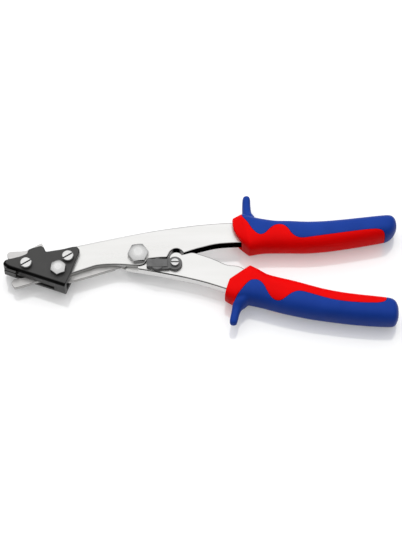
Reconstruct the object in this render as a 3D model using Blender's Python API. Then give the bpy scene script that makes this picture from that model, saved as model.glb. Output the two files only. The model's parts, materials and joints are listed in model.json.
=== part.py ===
"""Hand nibbler for sheet metal, about 280 mm long, lying flat on a table.

The origin is on the axis of the main pivot, at table height. +X runs along the handles, +Z up.
The levers are closed, and the lower horn of the punch blade reaches out through the die head.
Lengths are in metres. A row of an outline's table holds a place, in shares of the two lengths
that its heading names, and the roundness of that corner, from 0, sharp, to 1, a full curve.
"""

import math

import bmesh
import bpy
from mathutils import Matrix, Vector

# Clearances and edges
FIT_GAP = 0.0003
EDGE_CHAMFER = 0.0004
CUT_OVERRUN = 0.01
POINT_SPACING = 0.00005

# Levers
LEVER_THICKNESS = 0.008
ARM_REACH = 0.0667
ARM_RISE = 0.026
LAP_DISC_RADIUS = 0.0112
LAP_HOLLOW_RADIUS = 0.0094
LAP_CLEARANCE = 0.0008
LAP_STEP = 0.0012
LOBE_REACH = 0.0273
LOBE_DROP = 0.003
LOBE_RADIUS = 0.0052
NOTCH_SIDE_GAP = 0.0008
NOTCH_TOP_GAP = 0.0026

# Main pivot: hexagon bolt, washer and nut
MAIN_BOLT_RADIUS = 0.004
MAIN_HEX_FLATS = 0.013
MAIN_HEX_HEIGHT = 0.0053
MAIN_HEX_TURN = math.radians(6.5)
MAIN_NUT_HEIGHT = 0.0047
MAIN_WASHER_RADIUS = 0.0072
MAIN_WASHER_THICKNESS = 0.0016
BOLT_END = 0.0006

# Shapes of the bolt heads, nuts and screw heads, as shares of their half widths and heights
HEX_DOME_SHARE = 0.38
HEX_DOME_RADIUS_SHARES = (1.0, 0.8, 0.6, 0.4)
NUT_EDGE_SHARE = 0.95
NUT_RAMP_SHARE = 0.15
SCREW_RIM_SHARE = 0.2
SLOT_DEPTH_SHARE = 0.45

# Blade pivot: hexagon bolt and thin nut
BLADE_PIVOT_REACH = 0.0567
BLADE_PIVOT_DROP = 0.0132
BLADE_BOLT_RADIUS = 0.003
BLADE_HEX_FLATS = 0.010
BLADE_HEX_HEIGHT = 0.004
BLADE_HEX_TURN = math.radians(22)

# Punch blade, its fork and the pin that drives it
BLADE_THICKNESS = 0.0032
BLADE_BACK_GAP = 0.0009
DRIVE_PIN_REACH = 0.013
DRIVE_PIN_RADIUS = 0.0024
DRIVE_NOSE_RADIUS = 0.005
FORK_CLEARANCE = 0.0004
FORK_TIP = 0.0032
FORK_HALF_WIDTH = 0.0053
FORK_ROOM_RADIUS = 0.0074

# Die head: two cheeks and a web with a slot, tilted against the handles
HEAD_LENGTH = 0.0473
HEAD_DEPTH = 0.0317
HEAD_TILT = math.radians(-19.5)
CHEEK_THICKNESS = 0.0038
WEB_THICKNESS = 0.003
WEB_SLOT_CLEARANCE = 0.0004
DIE_DEPTH = 0.0024
DIE_TOP_INSET = 0.0006
HEAD_BEND = 0.0017
HEAD_BEND_CORNER = 0.0044

# Slotted screws through the die head, with their spacers
HEAD_SCREW_RADIUS = 0.0025
HEAD_SCREW_CAP_RADIUS = 0.00415
HEAD_SCREW_CAP_HEIGHT = 0.0026
HEAD_SCREW_TURN = math.radians(32)
SPACER_WALL = 0.0007
SLOT_WIDTH = 0.0011

# Latch and its screw
LATCH_THICKNESS = 0.0022
LATCH_TAB_STEP = 0.0007
LATCH_EYE_RADIUS = 0.0052
LATCH_REACH = 0.0264
LATCH_DROP = 0.0079
LATCH_LENGTH = 0.0202
LATCH_TAB_LENGTH = 0.0151
LATCH_WIDTH = 0.0064
LATCH_HEEL = 0.0014
LATCH_THUMB_RADIUS = 0.0048
LATCH_THUMB_REACH = 0.0126
LATCH_THUMB_DROP = 0.0008
LATCH_THUMB_LIFT = 0.0005
LATCH_SCREW_RADIUS = 0.002
LATCH_SCREW_CAP_RADIUS = 0.0030
LATCH_SCREW_CAP_HEIGHT = 0.0017
LATCH_SCREW_DEPTH = 0.0055

# Opening spring round the nut of the main pivot, and the two pins that it pushes apart
SPRING_WIRE = 0.0013
SPRING_GAP = 0.00045
SPRING_TURNS = 1.5
SPRING_WASHER_GAP = 0.00065
SPRING_LEG = 0.024
SPRING_TOP_GAP = 0.0006
SPRING_PIN_RADIUS = 0.0014
SPRING_PIN_REACH = 0.020
SPRING_PIN_DEPTH = 0.003

# Grips: a soft inner half and an outer half with the finger guard
GRIP_LENGTH = 0.1193
GRIP_WIDTH = 0.0228
GRIP_SEAM = 0.0003
GRIP_RISE_SHARE = 0.635
GRIP_DROP_SHARE = 0.885
GUARD_WIDTH = 0.0053
GUARD_THICKNESS = 0.0076
UPPER_GUARD_REACH = 0.0114
UPPER_GUARD_HEIGHT = 0.0323
LOWER_GUARD_REACH = 0.0015
LOWER_GUARD_HEIGHT = 0.0305

# Facets: the turn from one to the next on a curve, and their number round a piece
CURVE_TURN = math.radians(9)
SMOOTH_TURN = math.radians(28)
MITRE_SHARE = 0.5
ROUND_SIDES = 32
SMALL_SIDES = 16
GRIP_SIDES = 24
GRIP_STEPS = 2
GUARD_STEPS = 2
GRIP_POWER = 0.8
COLLAR_POWER = 0.62
COLLAR_ROWS = 2
COIL_POINTS = 10

# Arcs in the outlines: start and end in degrees
NOTCH_ARC = (32, 155)
LAP_ARC = (90, -30)
NOSE_ARC = (-85, -270)
DISC_ARC = (158, -18)
LOBE_ARC = (175, 38)
EYE_ARC = (-130, 130)
FORK_ARC = (-90, -270)

# Heights that follow from the stack
LEVER_BACK = BOLT_END + MAIN_NUT_HEIGHT + MAIN_WASHER_THICKNESS + 2 * FIT_GAP
LEVER_FRONT = LEVER_BACK + LEVER_THICKNESS
MIDDLE = LEVER_BACK + LEVER_THICKNESS / 2
LAP_FRONT = MIDDLE + FIT_GAP / 2
LAP_BACK = MIDDLE - FIT_GAP / 2
CHEEK_BACK = LEVER_BACK - FIT_GAP
CHEEK_FRONT = LEVER_FRONT + FIT_GAP
HEAD_BACK = CHEEK_BACK - CHEEK_THICKNESS
HEAD_FRONT = CHEEK_FRONT + CHEEK_THICKNESS
BLADE_BACK = CHEEK_BACK + BLADE_BACK_GAP
BLADE_FRONT = BLADE_BACK + BLADE_THICKNESS
FORK_BACK = BLADE_BACK + BLADE_THICKNESS / 2
NOSE_FRONT = FORK_BACK - FIT_GAP
BLADE_NUT_HEIGHT = HEAD_BACK - FIT_GAP - BOLT_END

# Places that follow from the reaches
ORIGIN = Vector((0, 0))
BLADE_PIVOT = Vector((-BLADE_PIVOT_REACH, -BLADE_PIVOT_DROP))
DRIVE_PIN = BLADE_PIVOT.normalized() * DRIVE_PIN_REACH
LATCH_PIVOT = Vector((LATCH_REACH, -LATCH_DROP))
LOBE = Vector((LOBE_REACH, -LOBE_DROP))
SPRING_RADIUS = MAIN_WASHER_RADIUS + SPRING_WASHER_GAP + SPRING_WIRE / 2
UPPER_GRIP = Vector((ARM_REACH, ARM_RISE * GRIP_RISE_SHARE))
LOWER_GRIP = Vector((ARM_REACH, -ARM_RISE * GRIP_DROP_SHARE))

# Upper arm under the head: shares of the head's length and depth, in its own directions
ARM_TIP_SHARES = (
    (0.410, 0.31, 1), (0.194, 0.04, 1), (0.084, -0.09, 1), (-0.040, -0.18, 0.7),
    (-0.169, -0.065, 1), (-0.252, 0.18, 1), (-0.213, 0.415, 0.7), (0.115, 0.745, 1),
)
# Upper arm above the pivot: shares of the blade pivot's reach and the arm's rise
ARM_CROWN_SHARES = ((-0.57, 0.37, 1), (-0.36, 0.48, 1))
# Upper arm from the pivot to the grip: shares of the arm's reach and rise
ARM_TOP_SHARES = ((-0.06, 0.62, 1), (0.25, 0.78, 1), (0.65, 0.93, 1), (1.00, 1.00, 1))
ARM_UNDER_SHARES = ((0.84, 0.325, 1), (0.71, 0.24, 1), (0.575, 0.135, 1))
# Tang of the upper arm: shares of the grip's length and width
ARM_TANG_SHARES = (
    (0.062, 0.388, 1), (0.145, 0.302, 1), (0.313, 0.240, 1), (0.464, 0.234, 1),
    (0.620, 0.308, 0.6), (0.620, -0.200, 0.6), (0.464, -0.290, 1), (0.313, -0.274, 1),
    (0.179, -0.257, 1), (0.087, -0.302, 1), (0.000, -0.314, 1),
)
# Upper arm from the notch to the belly: shares of the lobe's reach and the arm's rise
ARM_THROAT_SHARES = (
    (0.757, -0.082, 0.5), (0.538, -0.088, 1), (0.235, -0.13, 0.5), (0.215, -0.24, 1),
    (0.086, -0.33, 1), (-0.147, -0.325, 1),
)
ARM_BELLY_SHARES = ((-0.538, -0.29, 1), (-1.026, -0.31, 1))

# Lower lever to the grip: shares of the arm's reach and rise
LEVER_LOW_SHARES = (
    (0.937, -1.04, 1), (0.77, -0.88, 1), (0.54, -0.715, 1), (0.29, -0.58, 1), (0.06, -0.46, 1),
    (-0.10, -0.40, 1),
)
LEVER_TOP_SHARES = (
    (0.515, 0.035, 1), (0.58, 0.085, 0.8), (0.655, 0.025, 1), (0.745, -0.06, 1),
    (0.84, -0.16, 1), (0.95, -0.315, 0.8),
)
# Tang of the lower lever, above and below: shares of the grip's length and width
LEVER_TANG_TOP_SHARES = (
    (0.042, 0.627, 0.8), (0.095, 0.473, 1), (0.162, 0.183, 1), (0.285, -0.057, 1),
    (0.464, -0.314, 1), (0.582, -0.439, 0.6),
)
LEVER_TANG_LOW_SHARES = (
    (0.582, -0.947, 0.6), (0.464, -0.827, 1), (0.285, -0.582, 1), (0.145, -0.371, 1),
    (0.045, -0.314, 1),
)

# Cheeks, web, die plate and screws, in the head's own directions: shares of its length and depth
WEB_SHARE = -0.347
NOSE_SHARE = -0.832
DIE_ENDS_SHARES = (-0.76, -0.575)
WEB_SLOT_SHARES = (-0.645, 0.012)
FRONT_SCREW_SHARES = (-0.483, -0.131)
REAR_SCREW_SHARES = (0.069, 0.344)
CHEEK_SHARES = (
    (NOSE_SHARE, -0.29, 0.8), (-0.828, -0.335, 0.8), (-0.797, WEB_SHARE, 0.8),
    (0.19, WEB_SHARE, 0), (0.20, -0.05, 0), (0.195, 0.60, 0.3), (0.12, 0.675, 0.8),
    (-0.06, 0.49, 0.1), (-0.285, 0.30, 0.4), (-0.33, 0.39, 0.6), (-0.385, 0.41, 0.5),
    (-0.50, 0.285, 0.3), (-0.545, 0.22, 0.8), (-0.535, 0.12, 0.5), (-0.61, 0.01, 0.3),
    (-0.80, -0.185, 0.3),
)

# Blade ahead of its pivot, in the head's own directions: shares of its length and depth
BLADE_FRONT_SHARES = (
    (-0.124, 0.198, 1), (-0.258, 0.332, 1), (-0.400, 0.538, 0.3), (-0.438, 0.588, 0.3),
    (-0.518, 0.441, 0.5), (-0.603, 0.279, 0.8), (-0.847, 0.138, 0.7), (-0.860, 0.067, 0.8),
    (-0.825, -0.03, 0.7), (-0.735, -0.04, 1), (-0.620, 0.02, 1), (-0.430, 0.089, 1),
    (-0.307, -0.034, 1), (-0.311, -0.199, 1), (-0.457, -0.335, 1), (-0.612, -0.475, 0.5),
    (-0.618, -0.590, 0.8), (-0.548, -0.668, 0.8), (-0.500, -0.620, 1), (-0.360, -0.463, 1),
    (-0.250, -0.310, 1), (0.048, -0.192, 1),
)
# Blade behind its pivot, along and across the line to the drive pin: shares of that line's
# length and of the fork's half width
TAIL_TOP_SHARES = ((0.86, 0.85, 1), (0.55, 0.52, 1), (0.22, 0.36, 1), (0.05, 1.05, 1))
TAIL_LOW_SHARES = ((0.14, -1.50, 1), (0.31, -1.42, 1), (0.64, -1.17, 1), (0.88, -0.98, 1))

# Grip sections: top point, bottom point and bow, as shares of length and width, and thickness
UPPER_GRIP_SHARES = (
    (0.010, 0.55, 0.088, -0.47, -0.034, 0.74), (0.034, 0.61, 0.098, -0.53, -0.018, 0.86),
    (0.062, 0.69, 0.112, -0.59, 0, 1.0), (0.149, 0.565, 0.187, -0.52, 0, 1.0),
    (0.262, 0.475, 0.262, -0.513, 0, 1.0), (0.356, 0.462, 0.356, -0.513, 0, 1.0),
    (0.459, 0.437, 0.459, -0.513, 0, 1.0), (0.565, 0.455, 0.565, -0.465, 0, 1.0),
    (0.669, 0.505, 0.669, -0.386, 0, 1.0), (0.775, 0.567, 0.775, -0.289, 0, 1.0),
    (0.878, 0.63, 0.878, -0.184, 0, 0.99), (0.946, 0.665, 0.940, -0.11, 0, 0.95),
    (0.975, 0.640, 0.972, 0.0, 0, 0.82), (0.992, 0.55, 0.990, 0.12, 0, 0.6),
    (1.0, 0.42, 1.0, 0.24, 0, 0.34),
)
LOWER_GRIP_SHARES = (
    (-0.008, 0.17, -0.042, -0.43, 0, 0.74), (0.052, 0.40, -0.017, -0.52, 0.012, 0.86),
    (0.112, 0.62, 0.011, -0.60, 0.024, 1.0), (0.158, 0.50, 0.091, -0.585, 0.012, 1.0),
    (0.216, 0.33, 0.185, -0.70, 0, 1.0), (0.286, 0.22, 0.286, -0.855, 0, 1.0),
    (0.374, 0.10, 0.374, -0.970, 0, 1.0), (0.468, -0.05, 0.468, -1.075, 0, 1.0),
    (0.553, -0.18, 0.553, -1.145, 0, 1.0), (0.655, -0.294, 0.655, -1.22, 0, 1.0),
    (0.758, -0.373, 0.758, -1.28, 0, 1.0), (0.858, -0.434, 0.858, -1.32, 0, 1.0),
    (0.944, -0.50, 0.950, -1.34, 0, 0.95), (0.975, -0.60, 0.975, -1.28, 0, 0.80),
    (0.990, -0.76, 0.990, -1.13, 0, 0.45),
)
# Finger guards: offset and width in guard widths, rise in guard heights, and thickness
UPPER_GUARD_SHARES = (
    (0.36, 0.17, 3.0, 2.4), (0.26, 0.44, 1.72, 1.7), (0.03, 0.56, 1.3, 1.3),
    (-0.04, 0.74, 1.15, 1.1), (-0.03, 0.90, 1.08, 1.0), (-0.02, 0.97, 0.86, 0.76),
    (0.0, 1.0, 0.45, 0.40),
)
LOWER_GUARD_SHARES = (
    (1.47, 0.23, 3.0, 2.4), (0.9, 0.46, 2.1, 2.0), (0.46, 0.59, 1.4, 1.35),
    (0.22, 0.72, 1.15, 1.1), (0.03, 0.87, 1.12, 1.0), (-0.04, 0.97, 0.92, 0.78),
    (-0.02, 1.0, 0.45, 0.40),
)
# Seam between the halves of a grip, in shares of its length and width
UPPER_SEAM_SHARES = (
    (-0.14, 0.95, 0), (0.063, 0.95, 0), (0.060, 0.50, 1), (0.094, 0.31, 1), (0.122, 0.03, 1),
    (0.162, -0.175, 1), (0.198, -0.155, 1), (0.230, 0.03, 1), (0.264, 0.185, 1), (0.308, 0.21, 1),
    (0.342, 0.055, 1), (0.364, -0.165, 1), (0.412, -0.29, 1), (0.492, -0.235, 1),
    (0.665, -0.10, 1), (0.821, 0.02, 1), (0.899, 0.045, 1), (0.926, -0.06, 1), (0.925, -0.22, 1),
    (0.895, -0.60, 1), (0.865, -1.4, 0), (-0.14, -1.4, 0),
)
LOWER_SEAM_SHARES = (
    (-0.14, 1.3, 0), (-0.14, -0.78, 0), (-0.012, -0.77, 0.5), (0.014, -0.645, 1),
    (0.030, -0.49, 1), (0.055, -0.345, 1), (0.083, -0.155, 1), (0.116, 0.005, 1),
    (0.160, 0.0, 1), (0.192, -0.155, 1), (0.213, -0.42, 1), (0.244, -0.635, 1),
    (0.288, -0.70, 1), (0.326, -0.575, 1), (0.358, -0.445, 1), (0.405, -0.365, 1),
    (0.499, -0.53, 1), (0.601, -0.69, 1), (0.702, -0.77, 1), (0.804, -0.80, 1),
    (0.883, -0.795, 1), (0.916, -0.71, 1), (0.920, -0.48, 1), (0.925, 0.35, 1), (0.925, 1.3, 0),
)

# Looks: base colour, roughness and metallic value
BRIGHT_STEEL = ((0.80, 0.79, 0.77), 0.25, 1.0)
ZINC = ((0.82, 0.82, 0.83), 0.22, 1.0)
BLADE_STEEL = ((0.56, 0.55, 0.54), 0.42, 1.0)
SPRING_STEEL = ((0.30, 0.30, 0.31), 0.35, 1.0)
BLACK_COAT = ((0.045, 0.042, 0.040), 0.45, 0.2)
LATCH_GREY = ((0.13, 0.13, 0.13), 0.45, 0.6)
RED_GRIP = ((0.72, 0.012, 0.012), 0.42, 0.0)
BLUE_GRIP = ((0.015, 0.045, 0.30), 0.40, 0.0)


def clear_scene():
    """Removes every object of the scene."""
    for old in list(bpy.data.objects):
        bpy.data.objects.remove(old, do_unlink=True)


def axis_empty(name, place, parent=None):
    """An empty on a joint's axis, which carries the pieces that turn with it."""
    empty = bpy.data.objects.new(name, None)
    empty.parent = parent
    offset = parent.location.xy if parent else ORIGIN
    empty.location = (place - offset).to_3d()
    bpy.context.collection.objects.link(empty)
    return empty


def carrier_place(carrier):
    """World place of an axis empty, through its parents."""
    place = Vector((0, 0, 0))
    while carrier:
        place = place + carrier.location
        carrier = carrier.parent
    return place


def add_piece(name, bm, look, carrier=None):
    """Turns a bmesh in world places into a named object with its own material."""
    bm.transform(Matrix.Translation(-carrier_place(carrier)))
    bmesh.ops.recalc_face_normals(bm, faces=bm.faces)
    mesh = bpy.data.meshes.new(name)
    bm.to_mesh(mesh)
    bm.free()
    mesh.shade_smooth()
    mesh.set_sharp_from_angle(angle=SMOOTH_TURN)
    piece = bpy.data.objects.new(name, mesh)
    piece.parent = carrier
    bpy.context.collection.objects.link(piece)
    dress(piece, look)
    return piece


def dress(piece, look):
    """Gives an object its own material."""
    colour, roughness, metallic = look
    material = bpy.data.materials.new(piece.name + "_material")
    material.use_nodes = True
    shader = material.node_tree.nodes["Principled BSDF"]
    shader.inputs["Base Color"].default_value = (*colour, 1)
    shader.inputs["Roughness"].default_value = roughness
    shader.inputs["Metallic"].default_value = metallic
    piece.data.materials.append(material)


def combine(piece, bm, operation, carrier=None):
    """Cuts, joins or trims a piece with another shape, which stays as a hidden tool."""
    tool = add_piece(piece.name + "_" + operation.lower(), bm, BLACK_COAT, carrier)
    tool.hide_render = True
    tool.display_type = "WIRE"
    modifier = piece.modifiers.new(tool.name, "BOOLEAN")
    modifier.operation = operation
    modifier.solver = "EXACT"
    modifier.object = tool


def on_circle(centre, radius, angle):
    """A point at an angle on a circle."""
    return centre + radius * Vector((math.cos(angle), math.sin(angle)))


def arc(centre, radius, start, end):
    """Outline corners along an arc, between two angles in degrees."""
    first = math.radians(start)
    turn = math.radians(end - start)
    steps = math.ceil(abs(turn) / CURVE_TURN)
    return [(on_circle(centre, radius, first + turn * i / steps), 0) for i in range(steps + 1)]


def circle(centre, radius):
    """Outline corners of a full circle."""
    turns = [math.tau * side / ROUND_SIDES for side in range(ROUND_SIDES)]
    return [(on_circle(centre, radius, turn), 0) for turn in turns]


def corners(shares, along, across, origin=ORIGIN, turn=0):
    """Outline corners from a table of shares of two lengths."""
    frame = Matrix.Rotation(turn, 2)
    return [(origin + frame @ Vector((a * along, b * across)), c) for a, b, c in shares]


def rectangle(left, right, low, high, origin=ORIGIN, turn=0):
    """Outline of a rectangle round an origin, in turned directions."""
    spots = ((left, low, 0), (right, low, 0), (right, high, 0), (left, high, 0))
    return corners(spots, 1, 1, origin, turn)


def rounded(outline):
    """Points of an outline whose corners are rounded as far as each row says."""
    points = []
    for index, (corner, roundness) in enumerate(outline):
        if roundness == 0:
            points.append(corner)
            continue
        before = outline[index - 1][0]
        after = outline[(index + 1) % len(outline)][0]
        start = corner.lerp(before, roundness / 2)
        end = corner.lerp(after, roundness / 2)
        turn = abs((corner - before).angle_signed(after - corner))
        steps = max(1, math.ceil(turn / CURVE_TURN))
        for step in range(steps + 1):
            share = step / steps
            points.append(start.lerp(corner, share).lerp(corner.lerp(end, share), share))
    points = [p for i, p in enumerate(points) if (p - points[i - 1]).length > POINT_SPACING]
    area = sum(points[i - 1].cross(p) for i, p in enumerate(points))
    return points if area > 0 else points[::-1]


def widened(outline, gap):
    """The outline moved outward by a gap, as sharp corners."""
    points = rounded(outline)
    result = []
    for index, point in enumerate(points):
        edge_in = (point - points[index - 1]).normalized()
        edge_out = (points[(index + 1) % len(points)] - point).normalized()
        normal = (edge_in + edge_out).normalized()
        normal = Vector((normal.y, -normal.x))
        reach = gap / max(normal.dot(Vector((edge_in.y, -edge_in.x))), MITRE_SHARE)
        result.append((point + normal * reach, 0))
    return result


def prism(outline, low, high, chamfer=0):
    """A plate between two heights, with both rims chamfered."""
    points = rounded(outline)
    bm = bmesh.new()
    bottom = [bm.verts.new((p.x, p.y, low + chamfer)) for p in points]
    top = [bm.verts.new((p.x, p.y, high - chamfer)) for p in points]
    caps = [bm.faces.new(bottom[::-1]), bm.faces.new(top)]
    for index in range(len(points)):
        bm.faces.new((bottom[index - 1], bottom[index], top[index], top[index - 1]))
    bm.normal_update()
    for cap in caps:
        if chamfer > 0:
            bmesh.ops.inset_region(
                bm, faces=[cap], thickness=chamfer, depth=chamfer, use_even_offset=True)
    return bm


def turned(profile, centre, sides=ROUND_SIDES, bored=False):
    """A turned solid from its radii and heights, bottom to top; a bored one closes on itself."""
    bm = bmesh.new()
    rings = []
    for radius, height in profile:
        spots = [on_circle(centre, radius, math.tau * side / sides) for side in range(sides)]
        rings.append([bm.verts.new((p.x, p.y, height)) for p in spots])
    follow = rings[1:] + rings[:1] if bored else rings[1:]
    for lower, upper in zip(rings, follow):
        for side in range(sides):
            bm.faces.new((lower[side - 1], lower[side], upper[side], upper[side - 1]))
    if not bored:
        bm.faces.new(rings[0][::-1])
        bm.faces.new(rings[-1])
    return bm


def tube(centre, inner, outer, low, high, sides=ROUND_SIDES):
    """A plain ring with a bore."""
    profile = [(outer, low), (outer, high), (inner, high), (inner, low)]
    return turned(profile, centre, sides, bored=True)


def hexagon(centre, flats, turn):
    """Outline of a hexagon by its width across flats."""
    corner = flats / 2 / math.cos(math.pi / 6)
    return [(on_circle(centre, corner, turn + math.pi / 3 * side), 0) for side in range(6)]


def hex_bolt(name, centre, shank, flats, seat, height, turn):
    """A hexagon bolt with a domed head, head up, whose end stands on the table."""
    corner = flats / 2 / math.cos(math.pi / 6)
    top = seat + height
    profile = [(shank - EDGE_CHAMFER, 0), (shank, EDGE_CHAMFER), (shank, seat), (corner, seat)]
    flat = HEX_DOME_RADIUS_SHARES[-1] ** 2
    for share in HEX_DOME_RADIUS_SHARES:
        drop = height * HEX_DOME_SHARE * (share ** 2 - flat) / (1 - flat)
        profile.append((corner * share, top - drop))
    bolt = add_piece(name, turned(profile, centre), ZINC)
    sides = prism(hexagon(centre, flats, turn), -CUT_OVERRUN, top + CUT_OVERRUN)
    combine(bolt, sides, "INTERSECT")


def hex_nut(name, centre, shank, flats, low, height, turn):
    """A hexagon nut on the end of a bolt."""
    corner = flats / 2 / math.cos(math.pi / 6)
    edge = flats / 2 * NUT_EDGE_SHARE
    ramp = height * NUT_RAMP_SHARE
    bore = shank + FIT_GAP
    top = low + height
    profile = [
        (edge, low), (corner, low + ramp), (corner, top - ramp), (edge, top),
        (bore, top), (bore, low),
    ]
    nut = add_piece(name, turned(profile, centre, bored=True), ZINC)
    sides = prism(hexagon(centre, flats, turn), low - CUT_OVERRUN, top + CUT_OVERRUN)
    combine(nut, sides, "INTERSECT")


def slotted_screw(name, centre, shank, low, seat, cap_radius, cap_height, turn, carrier=None):
    """A cheese-head screw with a slot."""
    rim = cap_height * SCREW_RIM_SHARE
    top = seat + cap_height
    profile = [
        (shank, low), (shank, seat), (cap_radius, seat), (cap_radius, top - rim),
        (cap_radius - rim, top),
    ]
    screw = add_piece(name, turned(profile, centre), ZINC, carrier)
    reach = cap_radius + CUT_OVERRUN
    half = SLOT_WIDTH / 2
    floor = top - cap_height * SLOT_DEPTH_SHARE
    slot = prism(rectangle(-reach, reach, -half, half, centre, turn), floor, top + CUT_OVERRUN)
    combine(screw, slot, "DIFFERENCE", carrier)


def drill(piece, centre, radius, low, high, carrier=None):
    """Bores a round hole between two heights."""
    combine(piece, prism(circle(centre, radius), low, high), "DIFFERENCE", carrier)


def arm_outline():
    """Outline of the upper arm with its tang, clockwise from the belly."""
    outline = corners(ARM_BELLY_SHARES, LOBE_REACH, ARM_RISE)
    outline += corners(ARM_TIP_SHARES, HEAD_LENGTH, HEAD_DEPTH, BLADE_PIVOT, HEAD_TILT)
    outline += corners(ARM_CROWN_SHARES, BLADE_PIVOT_REACH, ARM_RISE)
    outline += corners(ARM_TOP_SHARES, ARM_REACH, ARM_RISE)
    outline += corners(ARM_TANG_SHARES, GRIP_LENGTH, GRIP_WIDTH, UPPER_GRIP)
    outline += corners(ARM_UNDER_SHARES, ARM_REACH, ARM_RISE)
    side = LOBE_RADIUS + NOTCH_SIDE_GAP
    crest = NOTCH_TOP_GAP - NOTCH_SIDE_GAP
    for point, roundness in arc(LOBE, side, *NOTCH_ARC):
        lift = crest * (point.y - LOBE.y) / side
        outline.append((point + Vector((0, lift)), roundness))
    return outline + corners(ARM_THROAT_SHARES, LOBE_REACH, ARM_RISE)


def lever_outline():
    """Outline of the lower lever with its nose and tang, clockwise from the tang's end."""
    outline = corners(LEVER_TANG_LOW_SHARES, GRIP_LENGTH, GRIP_WIDTH, LOWER_GRIP)
    outline += corners(LEVER_LOW_SHARES, ARM_REACH, ARM_RISE)
    outline += arc(DRIVE_PIN, DRIVE_NOSE_RADIUS, *NOSE_ARC)
    outline += arc(ORIGIN, LAP_DISC_RADIUS, *DISC_ARC)
    outline += [(LOBE + Vector((-LOBE_RADIUS - LAP_STEP, -LAP_STEP / 2)), 0.5)]
    outline += arc(LOBE, LOBE_RADIUS, *LOBE_ARC)
    outline += corners(LEVER_TOP_SHARES, ARM_REACH, ARM_RISE)
    return outline + corners(LEVER_TANG_TOP_SHARES, GRIP_LENGTH, GRIP_WIDTH, LOWER_GRIP)


def head_box(left, right, low, high):
    """Outline of a rectangle in the head's own directions."""
    return rectangle(left, right, low, high, BLADE_PIVOT, HEAD_TILT)


def head_point(shares):
    """A place in the head's own directions, from shares of its length and depth."""
    along, across = shares
    place = Vector((along * HEAD_LENGTH, across * HEAD_DEPTH))
    return BLADE_PIVOT + Matrix.Rotation(HEAD_TILT, 2) @ place


def upper_arm():
    """The upper arm: a full plate behind the lap, half as thick ahead of it."""
    blank = prism(arm_outline(), LEVER_BACK, LEVER_FRONT, EDGE_CHAMFER)
    arm = add_piece("upper_arm", blank, BRIGHT_STEEL)
    far = BLADE_PIVOT_REACH * 2
    lap = arc(ORIGIN, LAP_DISC_RADIUS + LAP_CLEARANCE, *LAP_ARC)
    edge = lap[-1][0].x
    around = ((edge, -far), (-far, -far), (-far, far), (0, far))
    lap += [(Vector(spot), 0) for spot in around]
    combine(arm, prism(lap, LEVER_BACK - CUT_OVERRUN, LAP_FRONT), "DIFFERENCE")
    above = LEVER_FRONT + CUT_OVERRUN
    drill(arm, ORIGIN, MAIN_BOLT_RADIUS + FIT_GAP, LEVER_BACK, above)
    drill(arm, BLADE_PIVOT, BLADE_BOLT_RADIUS + FIT_GAP, LEVER_BACK, above)
    rear = head_point(REAR_SCREW_SHARES)
    drill(arm, rear, HEAD_SCREW_RADIUS + FIT_GAP, LEVER_BACK, above)
    pin_room = SPRING_PIN_DEPTH + FIT_GAP
    drill(arm, spring_pin_place(1), SPRING_PIN_RADIUS + FIT_GAP, -CUT_OVERRUN, LEVER_BACK + pin_room)


def lower_lever(carrier):
    """The lower lever: a full plate behind the lap, a disc and a nose under the upper arm."""
    blank = prism(lever_outline(), LEVER_BACK, LEVER_FRONT, EDGE_CHAMFER)
    lever = add_piece("lower_lever", blank, BRIGHT_STEEL, carrier)
    far = BLADE_PIVOT_REACH * 2
    ledge = LOBE.y - LAP_STEP
    start = math.degrees(math.asin(ledge / LAP_HOLLOW_RADIUS))
    end = LAP_DISC_RADIUS + LAP_STEP
    lap = arc(ORIGIN, LAP_HOLLOW_RADIUS, -90, start)
    around = ((end, ledge), (end, far), (-far, far), (-far, -far), (0, -far))
    lap += [(Vector(spot), 0) for spot in around]
    above = LEVER_FRONT + CUT_OVERRUN
    combine(lever, prism(lap, LAP_BACK, above), "DIFFERENCE", carrier)
    drill(lever, DRIVE_PIN, FORK_ROOM_RADIUS, NOSE_FRONT, above, carrier)
    drill(lever, ORIGIN, MAIN_BOLT_RADIUS + FIT_GAP, -CUT_OVERRUN, above, carrier)
    drill(lever, DRIVE_PIN, DRIVE_PIN_RADIUS + FIT_GAP, -CUT_OVERRUN, above, carrier)
    screw_floor = LEVER_FRONT - LATCH_SCREW_DEPTH - FIT_GAP
    drill(lever, LATCH_PIVOT, LATCH_SCREW_RADIUS + FIT_GAP, screw_floor, above, carrier)
    pin_top = LEVER_BACK + SPRING_PIN_DEPTH + FIT_GAP
    drill(lever, spring_pin_place(-1), SPRING_PIN_RADIUS + FIT_GAP, -CUT_OVERRUN, pin_top, carrier)


def drive_pin(carrier):
    """The pin of the lower lever that moves the blade's fork."""
    pin = turned([(DRIVE_PIN_RADIUS, LEVER_BACK), (DRIVE_PIN_RADIUS, BLADE_FRONT)], DRIVE_PIN)
    add_piece("drive_pin", pin, ZINC, carrier)


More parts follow.
